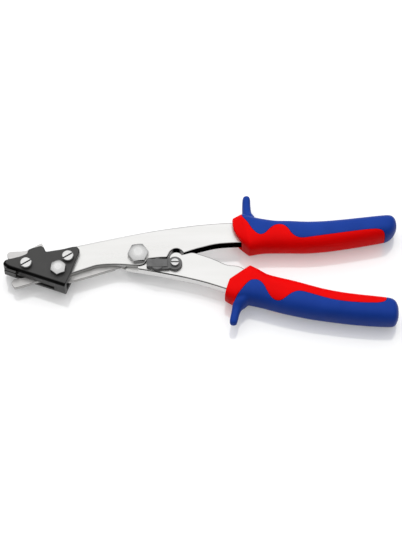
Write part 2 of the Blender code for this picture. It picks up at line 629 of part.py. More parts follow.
def punch_blade(carrier):
    """The blade: a lower horn that punches, an upper horn, and a tail with a fork."""
    outline = corners(BLADE_FRONT_SHARES, HEAD_LENGTH, HEAD_DEPTH, BLADE_PIVOT, HEAD_TILT)
    gap = (DRIVE_PIN - BLADE_PIVOT).length
    heading = math.atan2(-BLADE_PIVOT.y, -BLADE_PIVOT.x)
    across = FORK_HALF_WIDTH
    outline += corners(TAIL_LOW_SHARES, gap, across, BLADE_PIVOT, heading)
    slot = DRIVE_PIN_RADIUS + FORK_CLEARANCE
    tip = gap + FORK_TIP
    low_prong = [(tip, -across, 0.2), (tip, -slot, 0)]
    outline += corners(low_prong, 1, 1, BLADE_PIVOT, heading)
    start, end = (math.degrees(heading) + angle for angle in FORK_ARC)
    outline += arc(DRIVE_PIN, slot, start, end)
    high_prong = [(tip, slot, 0), (tip, across, 0.2)]
    outline += corners(high_prong, 1, 1, BLADE_PIVOT, heading)
    outline += corners(TAIL_TOP_SHARES, gap, across, BLADE_PIVOT, heading)
    blade = add_piece("punch_blade", prism(outline, BLADE_BACK, BLADE_FRONT), BLADE_STEEL, carrier)
    drill(blade, DRIVE_PIN, FORK_ROOM_RADIUS, -CUT_OVERRUN, FORK_BACK, carrier)
    hole = BLADE_BOLT_RADIUS + FIT_GAP
    drill(blade, BLADE_PIVOT, hole, -CUT_OVERRUN, LEVER_FRONT, carrier)


def die_head():
    """The black die head: a bent channel that clamps the arm, with a slot in its web."""
    outline = corners(CHEEK_SHARES, HEAD_LENGTH, HEAD_DEPTH, BLADE_PIVOT, HEAD_TILT)
    head = add_piece("die_head", prism(outline, HEAD_BACK, HEAD_FRONT, EDGE_CHAMFER), BLACK_COAT)
    web_out = HEAD_DEPTH * WEB_SHARE
    web_in = web_out + WEB_THICKNESS
    skim = POINT_SPACING
    bent = head_box(HEAD_LENGTH * NOSE_SHARE + skim, HEAD_LENGTH, web_out + skim, HEAD_DEPTH)
    bent[0] = (bent[0][0], 2 * HEAD_BEND_CORNER / HEAD_LENGTH)
    combine(head, prism(bent, HEAD_BACK - skim, HEAD_FRONT + skim, HEAD_BEND), "INTERSECT")
    channel = head_box(HEAD_LENGTH * NOSE_SHARE, HEAD_LENGTH, web_in, HEAD_DEPTH)
    combine(head, prism(channel, CHEEK_BACK, CHEEK_FRONT), "DIFFERENCE")
    left, right = (HEAD_LENGTH * share for share in WEB_SLOT_SHARES)
    slot = head_box(left, right, web_out - CUT_OVERRUN, web_in + WEB_THICKNESS)
    low, high = BLADE_BACK - WEB_SLOT_CLEARANCE, BLADE_FRONT + WEB_SLOT_CLEARANCE
    combine(head, prism(slot, low, high), "DIFFERENCE")
    bolt_hole = (BLADE_PIVOT, BLADE_BOLT_RADIUS)
    places = (head_point(shares) for shares in (FRONT_SCREW_SHARES, REAR_SCREW_SHARES))
    for centre, radius in [bolt_hole, *((place, HEAD_SCREW_RADIUS) for place in places)]:
        drill(head, centre, radius + FIT_GAP, -CUT_OVERRUN, HEAD_FRONT + CUT_OVERRUN)


def die_plate():
    """The die plate under the nose of the head, in front of the blade."""
    left, right = (HEAD_LENGTH * share for share in DIE_ENDS_SHARES)
    top = HEAD_DEPTH * WEB_SHARE - FIT_GAP
    outline = head_box(left, right, top - DIE_DEPTH, top)
    low = BLADE_FRONT + 2 * FIT_GAP
    plate = prism(outline, low, HEAD_FRONT - DIE_TOP_INSET, EDGE_CHAMFER)
    add_piece("die_plate", plate, BLACK_COAT)


def head_fasteners():
    """Screws, spacers, bolt and nut of the die head."""
    seat = HEAD_FRONT + FIT_GAP
    low = HEAD_BACK + FIT_GAP
    inner = HEAD_SCREW_RADIUS + FIT_GAP
    rows = (("front", FRONT_SCREW_SHARES, CHEEK_FRONT), ("rear", REAR_SCREW_SHARES, LAP_FRONT))
    for name, shares, top in rows:
        place = head_point(shares)
        slotted_screw(
            "head_screw_" + name, place, HEAD_SCREW_RADIUS, low, seat,
            HEAD_SCREW_CAP_RADIUS, HEAD_SCREW_CAP_HEIGHT, HEAD_SCREW_TURN)
        spacer = tube(place, inner, inner + SPACER_WALL, CHEEK_BACK + FIT_GAP, top - FIT_GAP)
        add_piece("spacer_" + name, spacer, ZINC)
    hex_bolt(
        "blade_bolt", BLADE_PIVOT, BLADE_BOLT_RADIUS, BLADE_HEX_FLATS, seat,
        BLADE_HEX_HEIGHT, BLADE_HEX_TURN)
    hex_nut(
        "blade_nut", BLADE_PIVOT, BLADE_BOLT_RADIUS, BLADE_HEX_FLATS, BOLT_END,
        BLADE_NUT_HEIGHT, BLADE_HEX_TURN)


def main_fasteners():
    """Bolt, washer and nut of the main pivot."""
    hex_bolt(
        "main_bolt", ORIGIN, MAIN_BOLT_RADIUS, MAIN_HEX_FLATS, LEVER_FRONT + FIT_GAP,
        MAIN_HEX_HEIGHT, MAIN_HEX_TURN)
    hex_nut(
        "main_nut", ORIGIN, MAIN_BOLT_RADIUS, MAIN_HEX_FLATS, BOLT_END,
        MAIN_NUT_HEIGHT, MAIN_HEX_TURN)
    top = LEVER_BACK - FIT_GAP
    bore = MAIN_BOLT_RADIUS + FIT_GAP
    washer = tube(ORIGIN, bore, MAIN_WASHER_RADIUS, top - MAIN_WASHER_THICKNESS, top)
    add_piece("main_washer", washer, ZINC)


def latch(carrier):
    """The latch on the lower lever: an eye, a raised tab and a thumb bump."""
    low = LEVER_FRONT + FIT_GAP
    top = low + LATCH_THICKNESS
    half = LATCH_WIDTH / 2
    end = LATCH_PIVOT - Vector((LATCH_LENGTH, 0))
    tab = rectangle(0, LATCH_TAB_LENGTH, -half, half, end)
    heel = rectangle(LATCH_TAB_LENGTH / 2, LATCH_TAB_LENGTH, -half - LATCH_HEEL, half, end)
    outline = arc(LATCH_PIVOT, LATCH_EYE_RADIUS, *EYE_ARC) + [tab[2], tab[3], tab[0]]
    outline += heel[:2]
    piece = add_piece("latch", prism(outline, low, top), LATCH_GREY, carrier)
    spot = LATCH_PIVOT - Vector((LATCH_THUMB_REACH, LATCH_THUMB_DROP))
    thumb = circle(spot, LATCH_THUMB_RADIUS)
    combine(piece, prism(thumb, low, top + LATCH_THUMB_LIFT), "UNION", carrier)
    combine(piece, prism(tab, low, top + LATCH_TAB_STEP), "UNION", carrier)
    drill(piece, LATCH_PIVOT, LATCH_SCREW_RADIUS + FIT_GAP, 0, top + CUT_OVERRUN, carrier)


def latch_screw(carrier):
    """The slotted screw on which the latch turns."""
    low = LEVER_FRONT - LATCH_SCREW_DEPTH
    seat = LEVER_FRONT + LATCH_THICKNESS + 2 * FIT_GAP
    slotted_screw(
        "latch_screw", LATCH_PIVOT, LATCH_SCREW_RADIUS, low, seat,
        LATCH_SCREW_CAP_RADIUS, LATCH_SCREW_CAP_HEIGHT, 0, carrier)


def spring_pin_place(side):
    """Place of the pin that a spring leg pushes, above or below the pivot."""
    across = SPRING_RADIUS + SPRING_WIRE / 2 + FIT_GAP + SPRING_PIN_RADIUS
    return Vector((SPRING_PIN_REACH, side * across))


def spring_heights():
    """Heights of the wire's centre in the first and in the last coil."""
    top = LEVER_BACK - SPRING_TOP_GAP - SPRING_WIRE / 2
    return top, top - SPRING_TURNS * (SPRING_WIRE + SPRING_GAP)


def spring_pins(carrier):
    """One pin under each lever for a leg of the spring."""
    top, bottom = spring_heights()
    for name, side, height, holder in (
        ("spring_pin_upper", 1, top, None), ("spring_pin_lower", -1, bottom, carrier),
    ):
        low = height - SPRING_WIRE / 2
        profile = [(SPRING_PIN_RADIUS, low), (SPRING_PIN_RADIUS, LEVER_BACK + SPRING_PIN_DEPTH)]
        add_piece(name, turned(profile, spring_pin_place(side), SMALL_SIDES), ZINC, holder)


def opening_spring():
    """The torsion spring: one wire with two straight legs and a coil between them."""
    top, bottom = spring_heights()
    count = round(SPRING_TURNS * COIL_POINTS)
    coil = []
    for step in range(count + 1):
        share = step / count
        spot = on_circle(ORIGIN, SPRING_RADIUS, math.pi / 2 + math.tau * SPRING_TURNS * share)
        coil.append(Vector((spot.x, spot.y, top + (bottom - top) * share)))
    apart = COIL_POINTS // 2
    pairs = [(a, b) for index, a in enumerate(coil) for b in coil[index + apart:]]
    print("least gap of the spring to itself", min((a - b).length for a, b in pairs) - SPRING_WIRE)
    leg_ends = (Vector((SPRING_LEG, SPRING_RADIUS, top)), Vector((SPRING_LEG, -SPRING_RADIUS, bottom)))
    route = [leg_ends[0], *coil, leg_ends[1]]
    curve = bpy.data.curves.new("opening_spring", "CURVE")
    curve.dimensions = "3D"
    curve.bevel_depth = SPRING_WIRE / 2
    curve.bevel_resolution = 1
    curve.use_fill_caps = True
    spline = curve.splines.new("POLY")
    spline.points.add(len(route) - 1)
    for point, place in zip(spline.points, route):
        point.co = (*place, 1)
    spring = bpy.data.objects.new("opening_spring", curve)
    bpy.context.collection.objects.link(spring)
    dress(spring, SPRING_STEEL)


def superellipse(angle, power):
    """Unit coordinates on a full, slightly squared oval."""
    across, up = math.sin(angle), math.cos(angle)
    return (
        math.copysign(abs(across) ** power, across),
        math.copysign(abs(up) ** power, up),
    )


def loft(rings):
    """A closed skin through rings of points."""
    bm = bmesh.new()
    loops = [[bm.verts.new(point) for point in ring] for ring in rings]
    for first, second in zip(loops, loops[1:]):
        for index in range(len(first)):
            bm.faces.new((first[index - 1], first[index], second[index], second[index - 1]))
    bm.faces.new(loops[0])
    bm.faces.new(loops[-1])
    return bm


def smooth_rows(rows, steps):
    """Rows of a table with curved steps put in between."""
    padded = [rows[0], *rows, rows[-1]]
    result = []
    for index in range(len(rows) - 1):
        for step in range(steps):
            t = step / steps
            result.append([
                (2 * b + (c - a) * t + (2 * a - 5 * b + 4 * c - d) * t ** 2
                 + (3 * b - a - 3 * c + d) * t ** 3) / 2
                for a, b, c, d in zip(*padded[index:index + 4])
            ])
    result.append(rows[-1])
    return result


def grip_body(shares, origin):
    """The whole grip: a boxy collar with flat facets up to its crease, then a smooth oval body."""
    rows = [*shares[:COLLAR_ROWS], *smooth_rows(shares[COLLAR_ROWS:], GRIP_STEPS)]
    rings = []
    for index, (top_x, top_y, low_x, low_y, bow, thickness) in enumerate(rows):
        top = origin + Vector((top_x * GRIP_LENGTH, top_y * GRIP_WIDTH))
        low = origin + Vector((low_x * GRIP_LENGTH, low_y * GRIP_WIDTH))
        fade = min(1, max(0, (index - COLLAR_ROWS) / GRIP_STEPS))
        power = COLLAR_POWER + (GRIP_POWER - COLLAR_POWER) * fade
        ring = []
        for side in range(GRIP_SIDES):
            across, up = superellipse(math.tau * side / GRIP_SIDES, power)
            spot = (top + low) / 2 + across * (top - low) / 2
            spot.x += bow * GRIP_LENGTH * (1 - across ** 2)
            ring.append((spot.x, spot.y, MIDDLE * (1 + up * min(thickness, 1))))
        rings.append(ring)
    return loft(rings)


def guard_body(shares, origin, reach, height):
    """The finger guard; a negative height turns it downward."""
    rings = []
    for offset, rise, width, thickness in smooth_rows(shares, GUARD_STEPS):
        centre = origin + Vector((reach + offset * GUARD_WIDTH, rise * height))
        ring = []
        for side in range(GRIP_SIDES):
            across, up = superellipse(math.tau * side / GRIP_SIDES, GRIP_POWER)
            half = Vector((width * GUARD_WIDTH / 2 * across, thickness * GUARD_THICKNESS / 2 * up))
            ring.append((centre.x + half.x, centre.y, MIDDLE + half.y))
        rings.append(ring)
    return loft(rings)


def grip_half(name, look, parts, seam, operation, tang, carrier):
    """One half of a grip: body and guard, trimmed at the seam and hollowed for the tang."""
    half = add_piece(name, grip_body(*parts["body"]), look, carrier)
    if operation == "DIFFERENCE":
        combine(half, guard_body(*parts["guard"]), "UNION", carrier)
    high = 2 * MIDDLE + CUT_OVERRUN
    combine(half, prism(seam, -CUT_OVERRUN, high), operation, carrier)
    combine(half, prism(tang, LEVER_BACK - FIT_GAP, LEVER_FRONT + FIT_GAP), "DIFFERENCE", carrier)


def grip(side, parts, seam_shares, tang_outline, carrier=None):
    """The two halves of a grip on the tang of a lever."""
    seam = corners(seam_shares, GRIP_LENGTH, GRIP_WIDTH, parts["body"][1])
    around = widened(seam, GRIP_SEAM)
    tang = widened(tang_outline, FIT_GAP)
    grip_half(side + "_grip_inner", RED_GRIP, parts, seam, "INTERSECT", tang, carrier)
    grip_half(side + "_grip_outer", BLUE_GRIP, parts, around, "DIFFERENCE", tang, carrier)


def grips(carrier):
    """Both grips with their guards."""
    upper = {
        "body": (UPPER_GRIP_SHARES, UPPER_GRIP),
        "guard": (UPPER_GUARD_SHARES, UPPER_GRIP, UPPER_GUARD_REACH, UPPER_GUARD_HEIGHT),
    }
    lower = {
        "body": (LOWER_GRIP_SHARES, LOWER_GRIP),
        "guard": (LOWER_GUARD_SHARES, LOWER_GRIP, LOWER_GUARD_REACH, -LOWER_GUARD_HEIGHT),
    }
    grip("upper", upper, UPPER_SEAM_SHARES, arm_outline())
    grip("lower", lower, LOWER_SEAM_SHARES, lever_outline(), carrier)


def main():
    """Builds the nibbler."""
    clear_scene()
    lever_axis = axis_empty("lever_axis", ORIGIN)
    blade_axis = axis_empty("blade_axis", BLADE_PIVOT)
    latch_axis = axis_empty("latch_axis", LATCH_PIVOT, lever_axis)
    upper_arm()
    lower_lever(lever_axis)
    drive_pin(lever_axis)
    punch_blade(blade_axis)
    die_head()
    die_plate()
    head_fasteners()
    main_fasteners()
    latch(latch_axis)
    latch_screw(lever_axis)
    spring_pins(lever_axis)
    opening_spring()
    grips(lever_axis)


main()
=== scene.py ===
import json
import math

import bmesh
import bpy
from mathutils import Matrix, Vector


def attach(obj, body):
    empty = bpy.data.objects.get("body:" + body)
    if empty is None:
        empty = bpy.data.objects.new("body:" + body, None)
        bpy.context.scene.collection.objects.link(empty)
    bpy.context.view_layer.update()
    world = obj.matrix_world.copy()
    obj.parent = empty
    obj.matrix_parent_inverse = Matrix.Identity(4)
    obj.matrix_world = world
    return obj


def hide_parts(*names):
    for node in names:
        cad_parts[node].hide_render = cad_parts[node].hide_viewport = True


# Looks of the hand nibbler around its fixed frame. Lengths are in metres. A row of an outline's
# table holds a place, in shares of the two lengths that its heading names, and the roundness of
# that corner, from 0, sharp, to 1, a full curve.
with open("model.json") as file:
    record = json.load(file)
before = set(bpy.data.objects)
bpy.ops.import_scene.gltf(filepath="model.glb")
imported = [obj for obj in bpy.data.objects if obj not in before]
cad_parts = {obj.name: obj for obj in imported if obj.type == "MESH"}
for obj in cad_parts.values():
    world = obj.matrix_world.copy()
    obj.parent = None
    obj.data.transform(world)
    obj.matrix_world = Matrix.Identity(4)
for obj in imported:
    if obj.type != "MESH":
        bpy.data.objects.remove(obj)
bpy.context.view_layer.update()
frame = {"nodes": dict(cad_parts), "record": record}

# Camera: the photograph's viewing angle
PICTURE_SIZE = (402, 536)
PIXELS_PER_METRE = 1400
CAMERA_DISTANCE = 1.5436
CAMERA_ELEVATION = math.radians(64)
CAMERA_TARGET = Vector((0.045, -0.01069, 0.0155))
SENSOR_WIDTH = 0.036
MILLIMETRES = 1000
CLIP_START = 0.05
CLIP_END = 40

# Studio: bright from above and behind, dim low in front
FLOOR_SIZE = 24.0
FLOOR_COLOUR = (0.80, 0.80, 0.805)
FLOOR_LIFT = 0.25
FLOOR_GLOSS = 0.26
FLOOR_GLOSS_ROUGHNESS = 0.08
SKY_BRIGHT = (1.0, 1.0, 1.0)
SKY_DIM = (0.15, 0.15, 0.153)
SKY_TILT = 0.35
SKY_DIM_TOP = 0.38
SKY_BRIGHT_START = 0.72
SKY_STRENGTH = 1.05
PANEL_SIZE = 1.5
PANEL_PLACE = (-0.2, 0.8, 1.4)
PANEL_POWER = 14

# Sizes of the frame
FIT_GAP = 0.0003
CUT_OVERRUN = 0.01
POINT_SPACING = 0.00005
WELD_DISTANCE = POINT_SPACING / 5
LEVER_THICKNESS = 0.008
ARM_REACH = 0.0667
ARM_RISE = 0.026
LAP_DISC_RADIUS = 0.0112
LAP_HOLLOW_RADIUS = 0.0094
LAP_CLEARANCE = 0.0008
LAP_STEP = 0.0012
LOBE_REACH = 0.0273
LOBE_DROP = 0.003
LOBE_RADIUS = 0.0052
NOTCH_SIDE_GAP = 0.0008
NOTCH_TOP_GAP = 0.0026
MAIN_BOLT_RADIUS = 0.004
MAIN_HEX_FLATS = 0.013
MAIN_HEX_HEIGHT = 0.0053
MAIN_HEX_TURN = math.radians(6.5)
MAIN_NUT_HEIGHT = 0.0047
MAIN_WASHER_RADIUS = 0.0072
MAIN_WASHER_THICKNESS = 0.0016
BOLT_END = 0.0006
BLADE_PIVOT_REACH = 0.0567
BLADE_PIVOT_DROP = 0.0132
BLADE_BOLT_RADIUS = 0.003
BLADE_HEX_FLATS = 0.010
BLADE_HEX_HEIGHT = 0.004
BLADE_HEX_TURN = math.radians(22)
HEX_DOME_SHARE = 0.38
HEX_DOME_FLAT_SHARE = 0.4
BLADE_THICKNESS = 0.0032
BLADE_BACK_GAP = 0.0009
DRIVE_PIN_REACH = 0.013
DRIVE_PIN_RADIUS = 0.0024
DRIVE_NOSE_RADIUS = 0.005
FORK_CLEARANCE = 0.0004
FORK_TIP = 0.0032
FORK_HALF_WIDTH = 0.0053
FORK_ROOM_RADIUS = 0.0074
HEAD_LENGTH = 0.0473
HEAD_DEPTH = 0.0317
HEAD_TILT = math.radians(-19.5)
CHEEK_THICKNESS = 0.0038
WEB_THICKNESS = 0.003
WEB_SLOT_CLEARANCE = 0.0004
HEAD_SCREW_RADIUS = 0.0025
LATCH_THICKNESS = 0.0022
LATCH_TAB_STEP = 0.0007
LATCH_EYE_RADIUS = 0.0052
LATCH_REACH = 0.0264
LATCH_DROP = 0.0079
LATCH_LENGTH = 0.0202
LATCH_TAB_LENGTH = 0.0151
LATCH_WIDTH = 0.0064
LATCH_HEEL = 0.0014
LATCH_THUMB_RADIUS = 0.0048
LATCH_THUMB_REACH = 0.0126
LATCH_THUMB_DROP = 0.0008
LATCH_THUMB_LIFT = 0.0005
LATCH_SCREW_RADIUS = 0.002
LATCH_SCREW_DEPTH = 0.0055
SPRING_WIRE = 0.0013
SPRING_GAP = 0.00045
SPRING_TURNS = 1.5
SPRING_WASHER_GAP = 0.00065
SPRING_LEG = 0.024
SPRING_TOP_GAP = 0.0006
SPRING_PIN_RADIUS = 0.0014
SPRING_PIN_REACH = 0.020
SPRING_PIN_DEPTH = 0.003
GRIP_LENGTH = 0.1193
GRIP_WIDTH = 0.0228
GRIP_SEAM = 0.0003
GRIP_RISE_SHARE = 0.635
GRIP_DROP_SHARE = 0.885
GUARD_WIDTH = 0.0053
GUARD_THICKNESS = 0.0076
UPPER_GUARD_REACH = 0.0114
UPPER_GUARD_HEIGHT = 0.0323
LOWER_GUARD_REACH = 0.0015
LOWER_GUARD_HEIGHT = 0.0305

# Finer forms than the frame's: rounded rims, facets and rows
RIM_STEPS = 3
LEVER_RIM = 0.0008
HEAD_RIM = 0.0004
BLADE_RIM = 0.0002
LATCH_RIM = 0.0003
THUMB_RIM = 0.0007
DOME_STEPS = 10
HEAD_BEND = 0.0026
HEAD_BEND_STEPS = 8
HEAD_BEND_CORNER = 0.0044
CURVE_TURN = math.radians(3)
MITRE_SHARE = 0.5
PRONG_ROUNDNESS = 0.2
LAP_ROUNDNESS = 0.5
ROUND_SIDES = 96
HEX_SIDES = 6
GRIP_SIDES = 72
GRIP_STEPS = 8
GUARD_STEPS = 8
GRIP_POWER = 0.8
COLLAR_POWER = 0.62
COLLAR_ROWS = 2
GRIP_VOXEL = 0.0006
GRIP_SMOOTHING = 6
COIL_POINTS = 48
WIRE_STEPS = 5
FLAT_ANGLE = math.radians(0.4)
SHARP_ANGLE = math.radians(50)
SEAM_ANGLE = math.radians(40)
HEX_ANGLE = math.radians(25)

# Arcs in the outlines: start and end in degrees
NOTCH_ARC = (32, 155)
LAP_ARC = (90, -30)
NOSE_ARC = (-85, -270)
DISC_ARC = (158, -18)
LOBE_ARC = (175, 38)
FORK_ARC = (-90, -270)
EYE_ARC = (-130, 130)

# Heights that follow from the stack
LEVER_BACK = BOLT_END + MAIN_NUT_HEIGHT + MAIN_WASHER_THICKNESS + 2 * FIT_GAP
LEVER_FRONT = LEVER_BACK + LEVER_THICKNESS
MIDDLE = LEVER_BACK + LEVER_THICKNESS / 2
LAP_FRONT = MIDDLE + FIT_GAP / 2
LAP_BACK = MIDDLE - FIT_GAP / 2
CHEEK_BACK = LEVER_BACK - FIT_GAP
CHEEK_FRONT = LEVER_FRONT + FIT_GAP
HEAD_BACK = CHEEK_BACK - CHEEK_THICKNESS
HEAD_FRONT = CHEEK_FRONT + CHEEK_THICKNESS
BLADE_BACK = CHEEK_BACK + BLADE_BACK_GAP
BLADE_FRONT = BLADE_BACK + BLADE_THICKNESS
FORK_BACK = BLADE_BACK + BLADE_THICKNESS / 2
NOSE_FRONT = FORK_BACK - FIT_GAP

# Places that follow from the reaches
ORIGIN = Vector((0, 0))
BLADE_PIVOT = Vector((-BLADE_PIVOT_REACH, -BLADE_PIVOT_DROP))
DRIVE_PIN = BLADE_PIVOT.normalized() * DRIVE_PIN_REACH
LATCH_PIVOT = Vector((LATCH_REACH, -LATCH_DROP))
LOBE = Vector((LOBE_REACH, -LOBE_DROP))
SPRING_RADIUS = MAIN_WASHER_RADIUS + SPRING_WASHER_GAP + SPRING_WIRE / 2
UPPER_GRIP = Vector((ARM_REACH, ARM_RISE * GRIP_RISE_SHARE))
LOWER_GRIP = Vector((ARM_REACH, -ARM_RISE * GRIP_DROP_SHARE))

# Upper arm under the head: shares of the head's length and depth, in its own directions
ARM_TIP_SHARES = (
    (0.410, 0.31, 1), (0.194, 0.04, 1), (0.084, -0.09, 1), (-0.040, -0.18, 0.7),
    (-0.169, -0.065, 1), (-0.252, 0.18, 1), (-0.213, 0.415, 0.7), (0.115, 0.745, 1),
)
# Upper arm above the pivot: shares of the blade pivot's reach and the arm's rise
ARM_CROWN_SHARES = ((-0.57, 0.37, 1), (-0.36, 0.48, 1))
# Upper arm from the pivot to the grip: shares of the arm's reach and rise
ARM_TOP_SHARES = ((-0.06, 0.62, 1), (0.25, 0.78, 1), (0.65, 0.93, 1), (1.00, 1.00, 1))
ARM_UNDER_SHARES = ((0.84, 0.325, 1), (0.71, 0.24, 1), (0.575, 0.135, 1))
# Tang of the upper arm: shares of the grip's length and width
ARM_TANG_SHARES = (
    (0.062, 0.388, 1), (0.145, 0.302, 1), (0.313, 0.240, 1), (0.464, 0.234, 1),
    (0.620, 0.308, 0.6), (0.620, -0.200, 0.6), (0.464, -0.290, 1), (0.313, -0.274, 1),
    (0.179, -0.257, 1), (0.087, -0.302, 1), (0.000, -0.314, 1),
)
# Upper arm from the notch to the belly: shares of the lobe's reach and the arm's rise
ARM_THROAT_SHARES = (
    (0.757, -0.082, 0.5), (0.538, -0.088, 1), (0.235, -0.13, 0.5), (0.215, -0.24, 1),
    (0.086, -0.33, 1), (-0.147, -0.325, 1),
)
ARM_BELLY_SHARES = ((-0.538, -0.29, 1), (-1.026, -0.31, 1))

# Lower lever to the grip: shares of the arm's reach and rise
LEVER_LOW_SHARES = (
    (0.937, -1.04, 1), (0.77, -0.88, 1), (0.54, -0.715, 1), (0.29, -0.58, 1), (0.06, -0.46, 1),
    (-0.10, -0.40, 1),
)
LEVER_TOP_SHARES = (
    (0.515, 0.035, 1), (0.58, 0.085, 0.8), (0.655, 0.025, 1), (0.745, -0.06, 1),
    (0.84, -0.16, 1), (0.95, -0.315, 0.8),
)
# Tang of the lower lever, above and below: shares of the grip's length and width
LEVER_TANG_TOP_SHARES = (
    (0.042, 0.627, 0.8), (0.095, 0.473, 1), (0.162, 0.183, 1), (0.285, -0.057, 1),
    (0.464, -0.314, 1), (0.582, -0.439, 0.6),
)
LEVER_TANG_LOW_SHARES = (
    (0.582, -0.947, 0.6), (0.464, -0.827, 1), (0.285, -0.582, 1), (0.145, -0.371, 1),
    (0.045, -0.314, 1),
)

# Cheeks, web and screws, in the head's own directions: shares of its length and depth
WEB_SHARE = -0.347
NOSE_SHARE = -0.8315
WEB_SLOT_SHARES = (-0.645, 0.012)
FRONT_SCREW_SHARES = (-0.483, -0.131)
REAR_SCREW_SHARES = (0.069, 0.344)
CHEEK_SHARES = (
    (NOSE_SHARE, -0.29, 0.8), (-0.825, -0.33, 0.8), (-0.797, WEB_SHARE, 0.8),
    (0.19, WEB_SHARE, 0), (0.20, -0.05, 0), (0.195, 0.60, 0.3), (0.12, 0.675, 0.8),
    (-0.06, 0.49, 0.1), (-0.285, 0.30, 0.4), (-0.33, 0.39, 0.6), (-0.385, 0.41, 0.5),
    (-0.50, 0.285, 0.3), (-0.545, 0.22, 0.8), (-0.535, 0.12, 0.5), (-0.61, 0.01, 0.3),
    (-0.80, -0.185, 0.3),
)

# Blade ahead of its pivot, in the head's own directions: shares of its length and depth
BLADE_FRONT_SHARES = (
    (-0.124, 0.198, 1), (-0.258, 0.332, 1), (-0.400, 0.538, 0.3), (-0.438, 0.588, 0.3),
    (-0.518, 0.441, 0.5), (-0.603, 0.279, 0.8), (-0.847, 0.138, 0.7), (-0.860, 0.067, 0.8),
    (-0.825, -0.03, 0.7), (-0.735, -0.04, 1), (-0.620, 0.02, 1), (-0.430, 0.089, 1),
    (-0.307, -0.034, 1), (-0.311, -0.199, 1), (-0.457, -0.335, 1), (-0.612, -0.475, 0.5),
    (-0.618, -0.590, 0.8), (-0.548, -0.668, 0.8), (-0.500, -0.620, 1), (-0.360, -0.463, 1),
    (-0.250, -0.310, 1), (0.048, -0.192, 1),
)
# Blade behind its pivot, along and across the line to the drive pin: shares of that line's
# length and of the fork's half width
TAIL_TOP_SHARES = ((0.86, 0.85, 1), (0.55, 0.52, 1), (0.22, 0.36, 1), (0.05, 1.05, 1))
TAIL_LOW_SHARES = ((0.14, -1.50, 1), (0.31, -1.42, 1), (0.64, -1.17, 1), (0.88, -0.98, 1))

# Grip sections: top point, bottom point and bow, as shares of length and width, and thickness
UPPER_GRIP_SHARES = (
    (0.010, 0.55, 0.088, -0.47, -0.034, 0.74), (0.034, 0.61, 0.098, -0.53, -0.018, 0.86),
    (0.062, 0.69, 0.112, -0.59, 0, 1.0), (0.149, 0.565, 0.187, -0.52, 0, 1.0),
    (0.262, 0.475, 0.262, -0.513, 0, 1.0), (0.356, 0.462, 0.356, -0.513, 0, 1.0),
    (0.459, 0.437, 0.459, -0.513, 0, 1.0), (0.565, 0.455, 0.565, -0.465, 0, 1.0),
    (0.669, 0.505, 0.669, -0.386, 0, 1.0), (0.775, 0.567, 0.775, -0.289, 0, 1.0),
    (0.878, 0.63, 0.878, -0.184, 0, 0.99), (0.946, 0.665, 0.940, -0.11, 0, 0.95),
    (0.975, 0.640, 0.972, 0.0, 0, 0.82), (0.992, 0.55, 0.990, 0.12, 0, 0.6),
    (1.0, 0.42, 1.0, 0.24, 0, 0.34),
)
LOWER_GRIP_SHARES = (
    (-0.008, 0.17, -0.042, -0.43, 0, 0.74), (0.052, 0.40, -0.017, -0.52, 0.012, 0.86),
    (0.112, 0.62, 0.011, -0.60, 0.024, 1.0), (0.158, 0.50, 0.091, -0.585, 0.012, 1.0),
    (0.216, 0.33, 0.185, -0.70, 0, 1.0), (0.286, 0.22, 0.286, -0.855, 0, 1.0),
    (0.374, 0.10, 0.374, -0.970, 0, 1.0), (0.468, -0.05, 0.468, -1.075, 0, 1.0),
    (0.553, -0.18, 0.553, -1.145, 0, 1.0), (0.655, -0.294, 0.655, -1.22, 0, 1.0),
    (0.758, -0.373, 0.758, -1.28, 0, 1.0), (0.858, -0.434, 0.858, -1.32, 0, 1.0),
    (0.944, -0.50, 0.950, -1.338, 0, 0.95), (0.975, -0.60, 0.975, -1.28, 0, 0.80),
    (0.990, -0.76, 0.990, -1.13, 0, 0.45),
)
# Finger guards: offset and width in guard widths, rise in guard heights, and thickness
UPPER_GUARD_SHARES = (
    (0.36, 0.17, 3.0, 2.4), (0.26, 0.44, 1.72, 1.7), (0.03, 0.56, 1.3, 1.3),
    (-0.04, 0.74, 1.15, 1.1), (-0.03, 0.90, 1.08, 1.0), (-0.02, 0.97, 0.86, 0.76),
    (0.0, 1.0, 0.45, 0.40),
)
LOWER_GUARD_SHARES = (
    (1.47, 0.23, 3.0, 2.4), (0.9, 0.46, 2.1, 2.0), (0.46, 0.59, 1.4, 1.35),
    (0.22, 0.72, 1.15, 1.1), (0.03, 0.87, 1.12, 1.0), (-0.04, 0.97, 0.92, 0.78),
    (-0.02, 1.0, 0.45, 0.40),
)
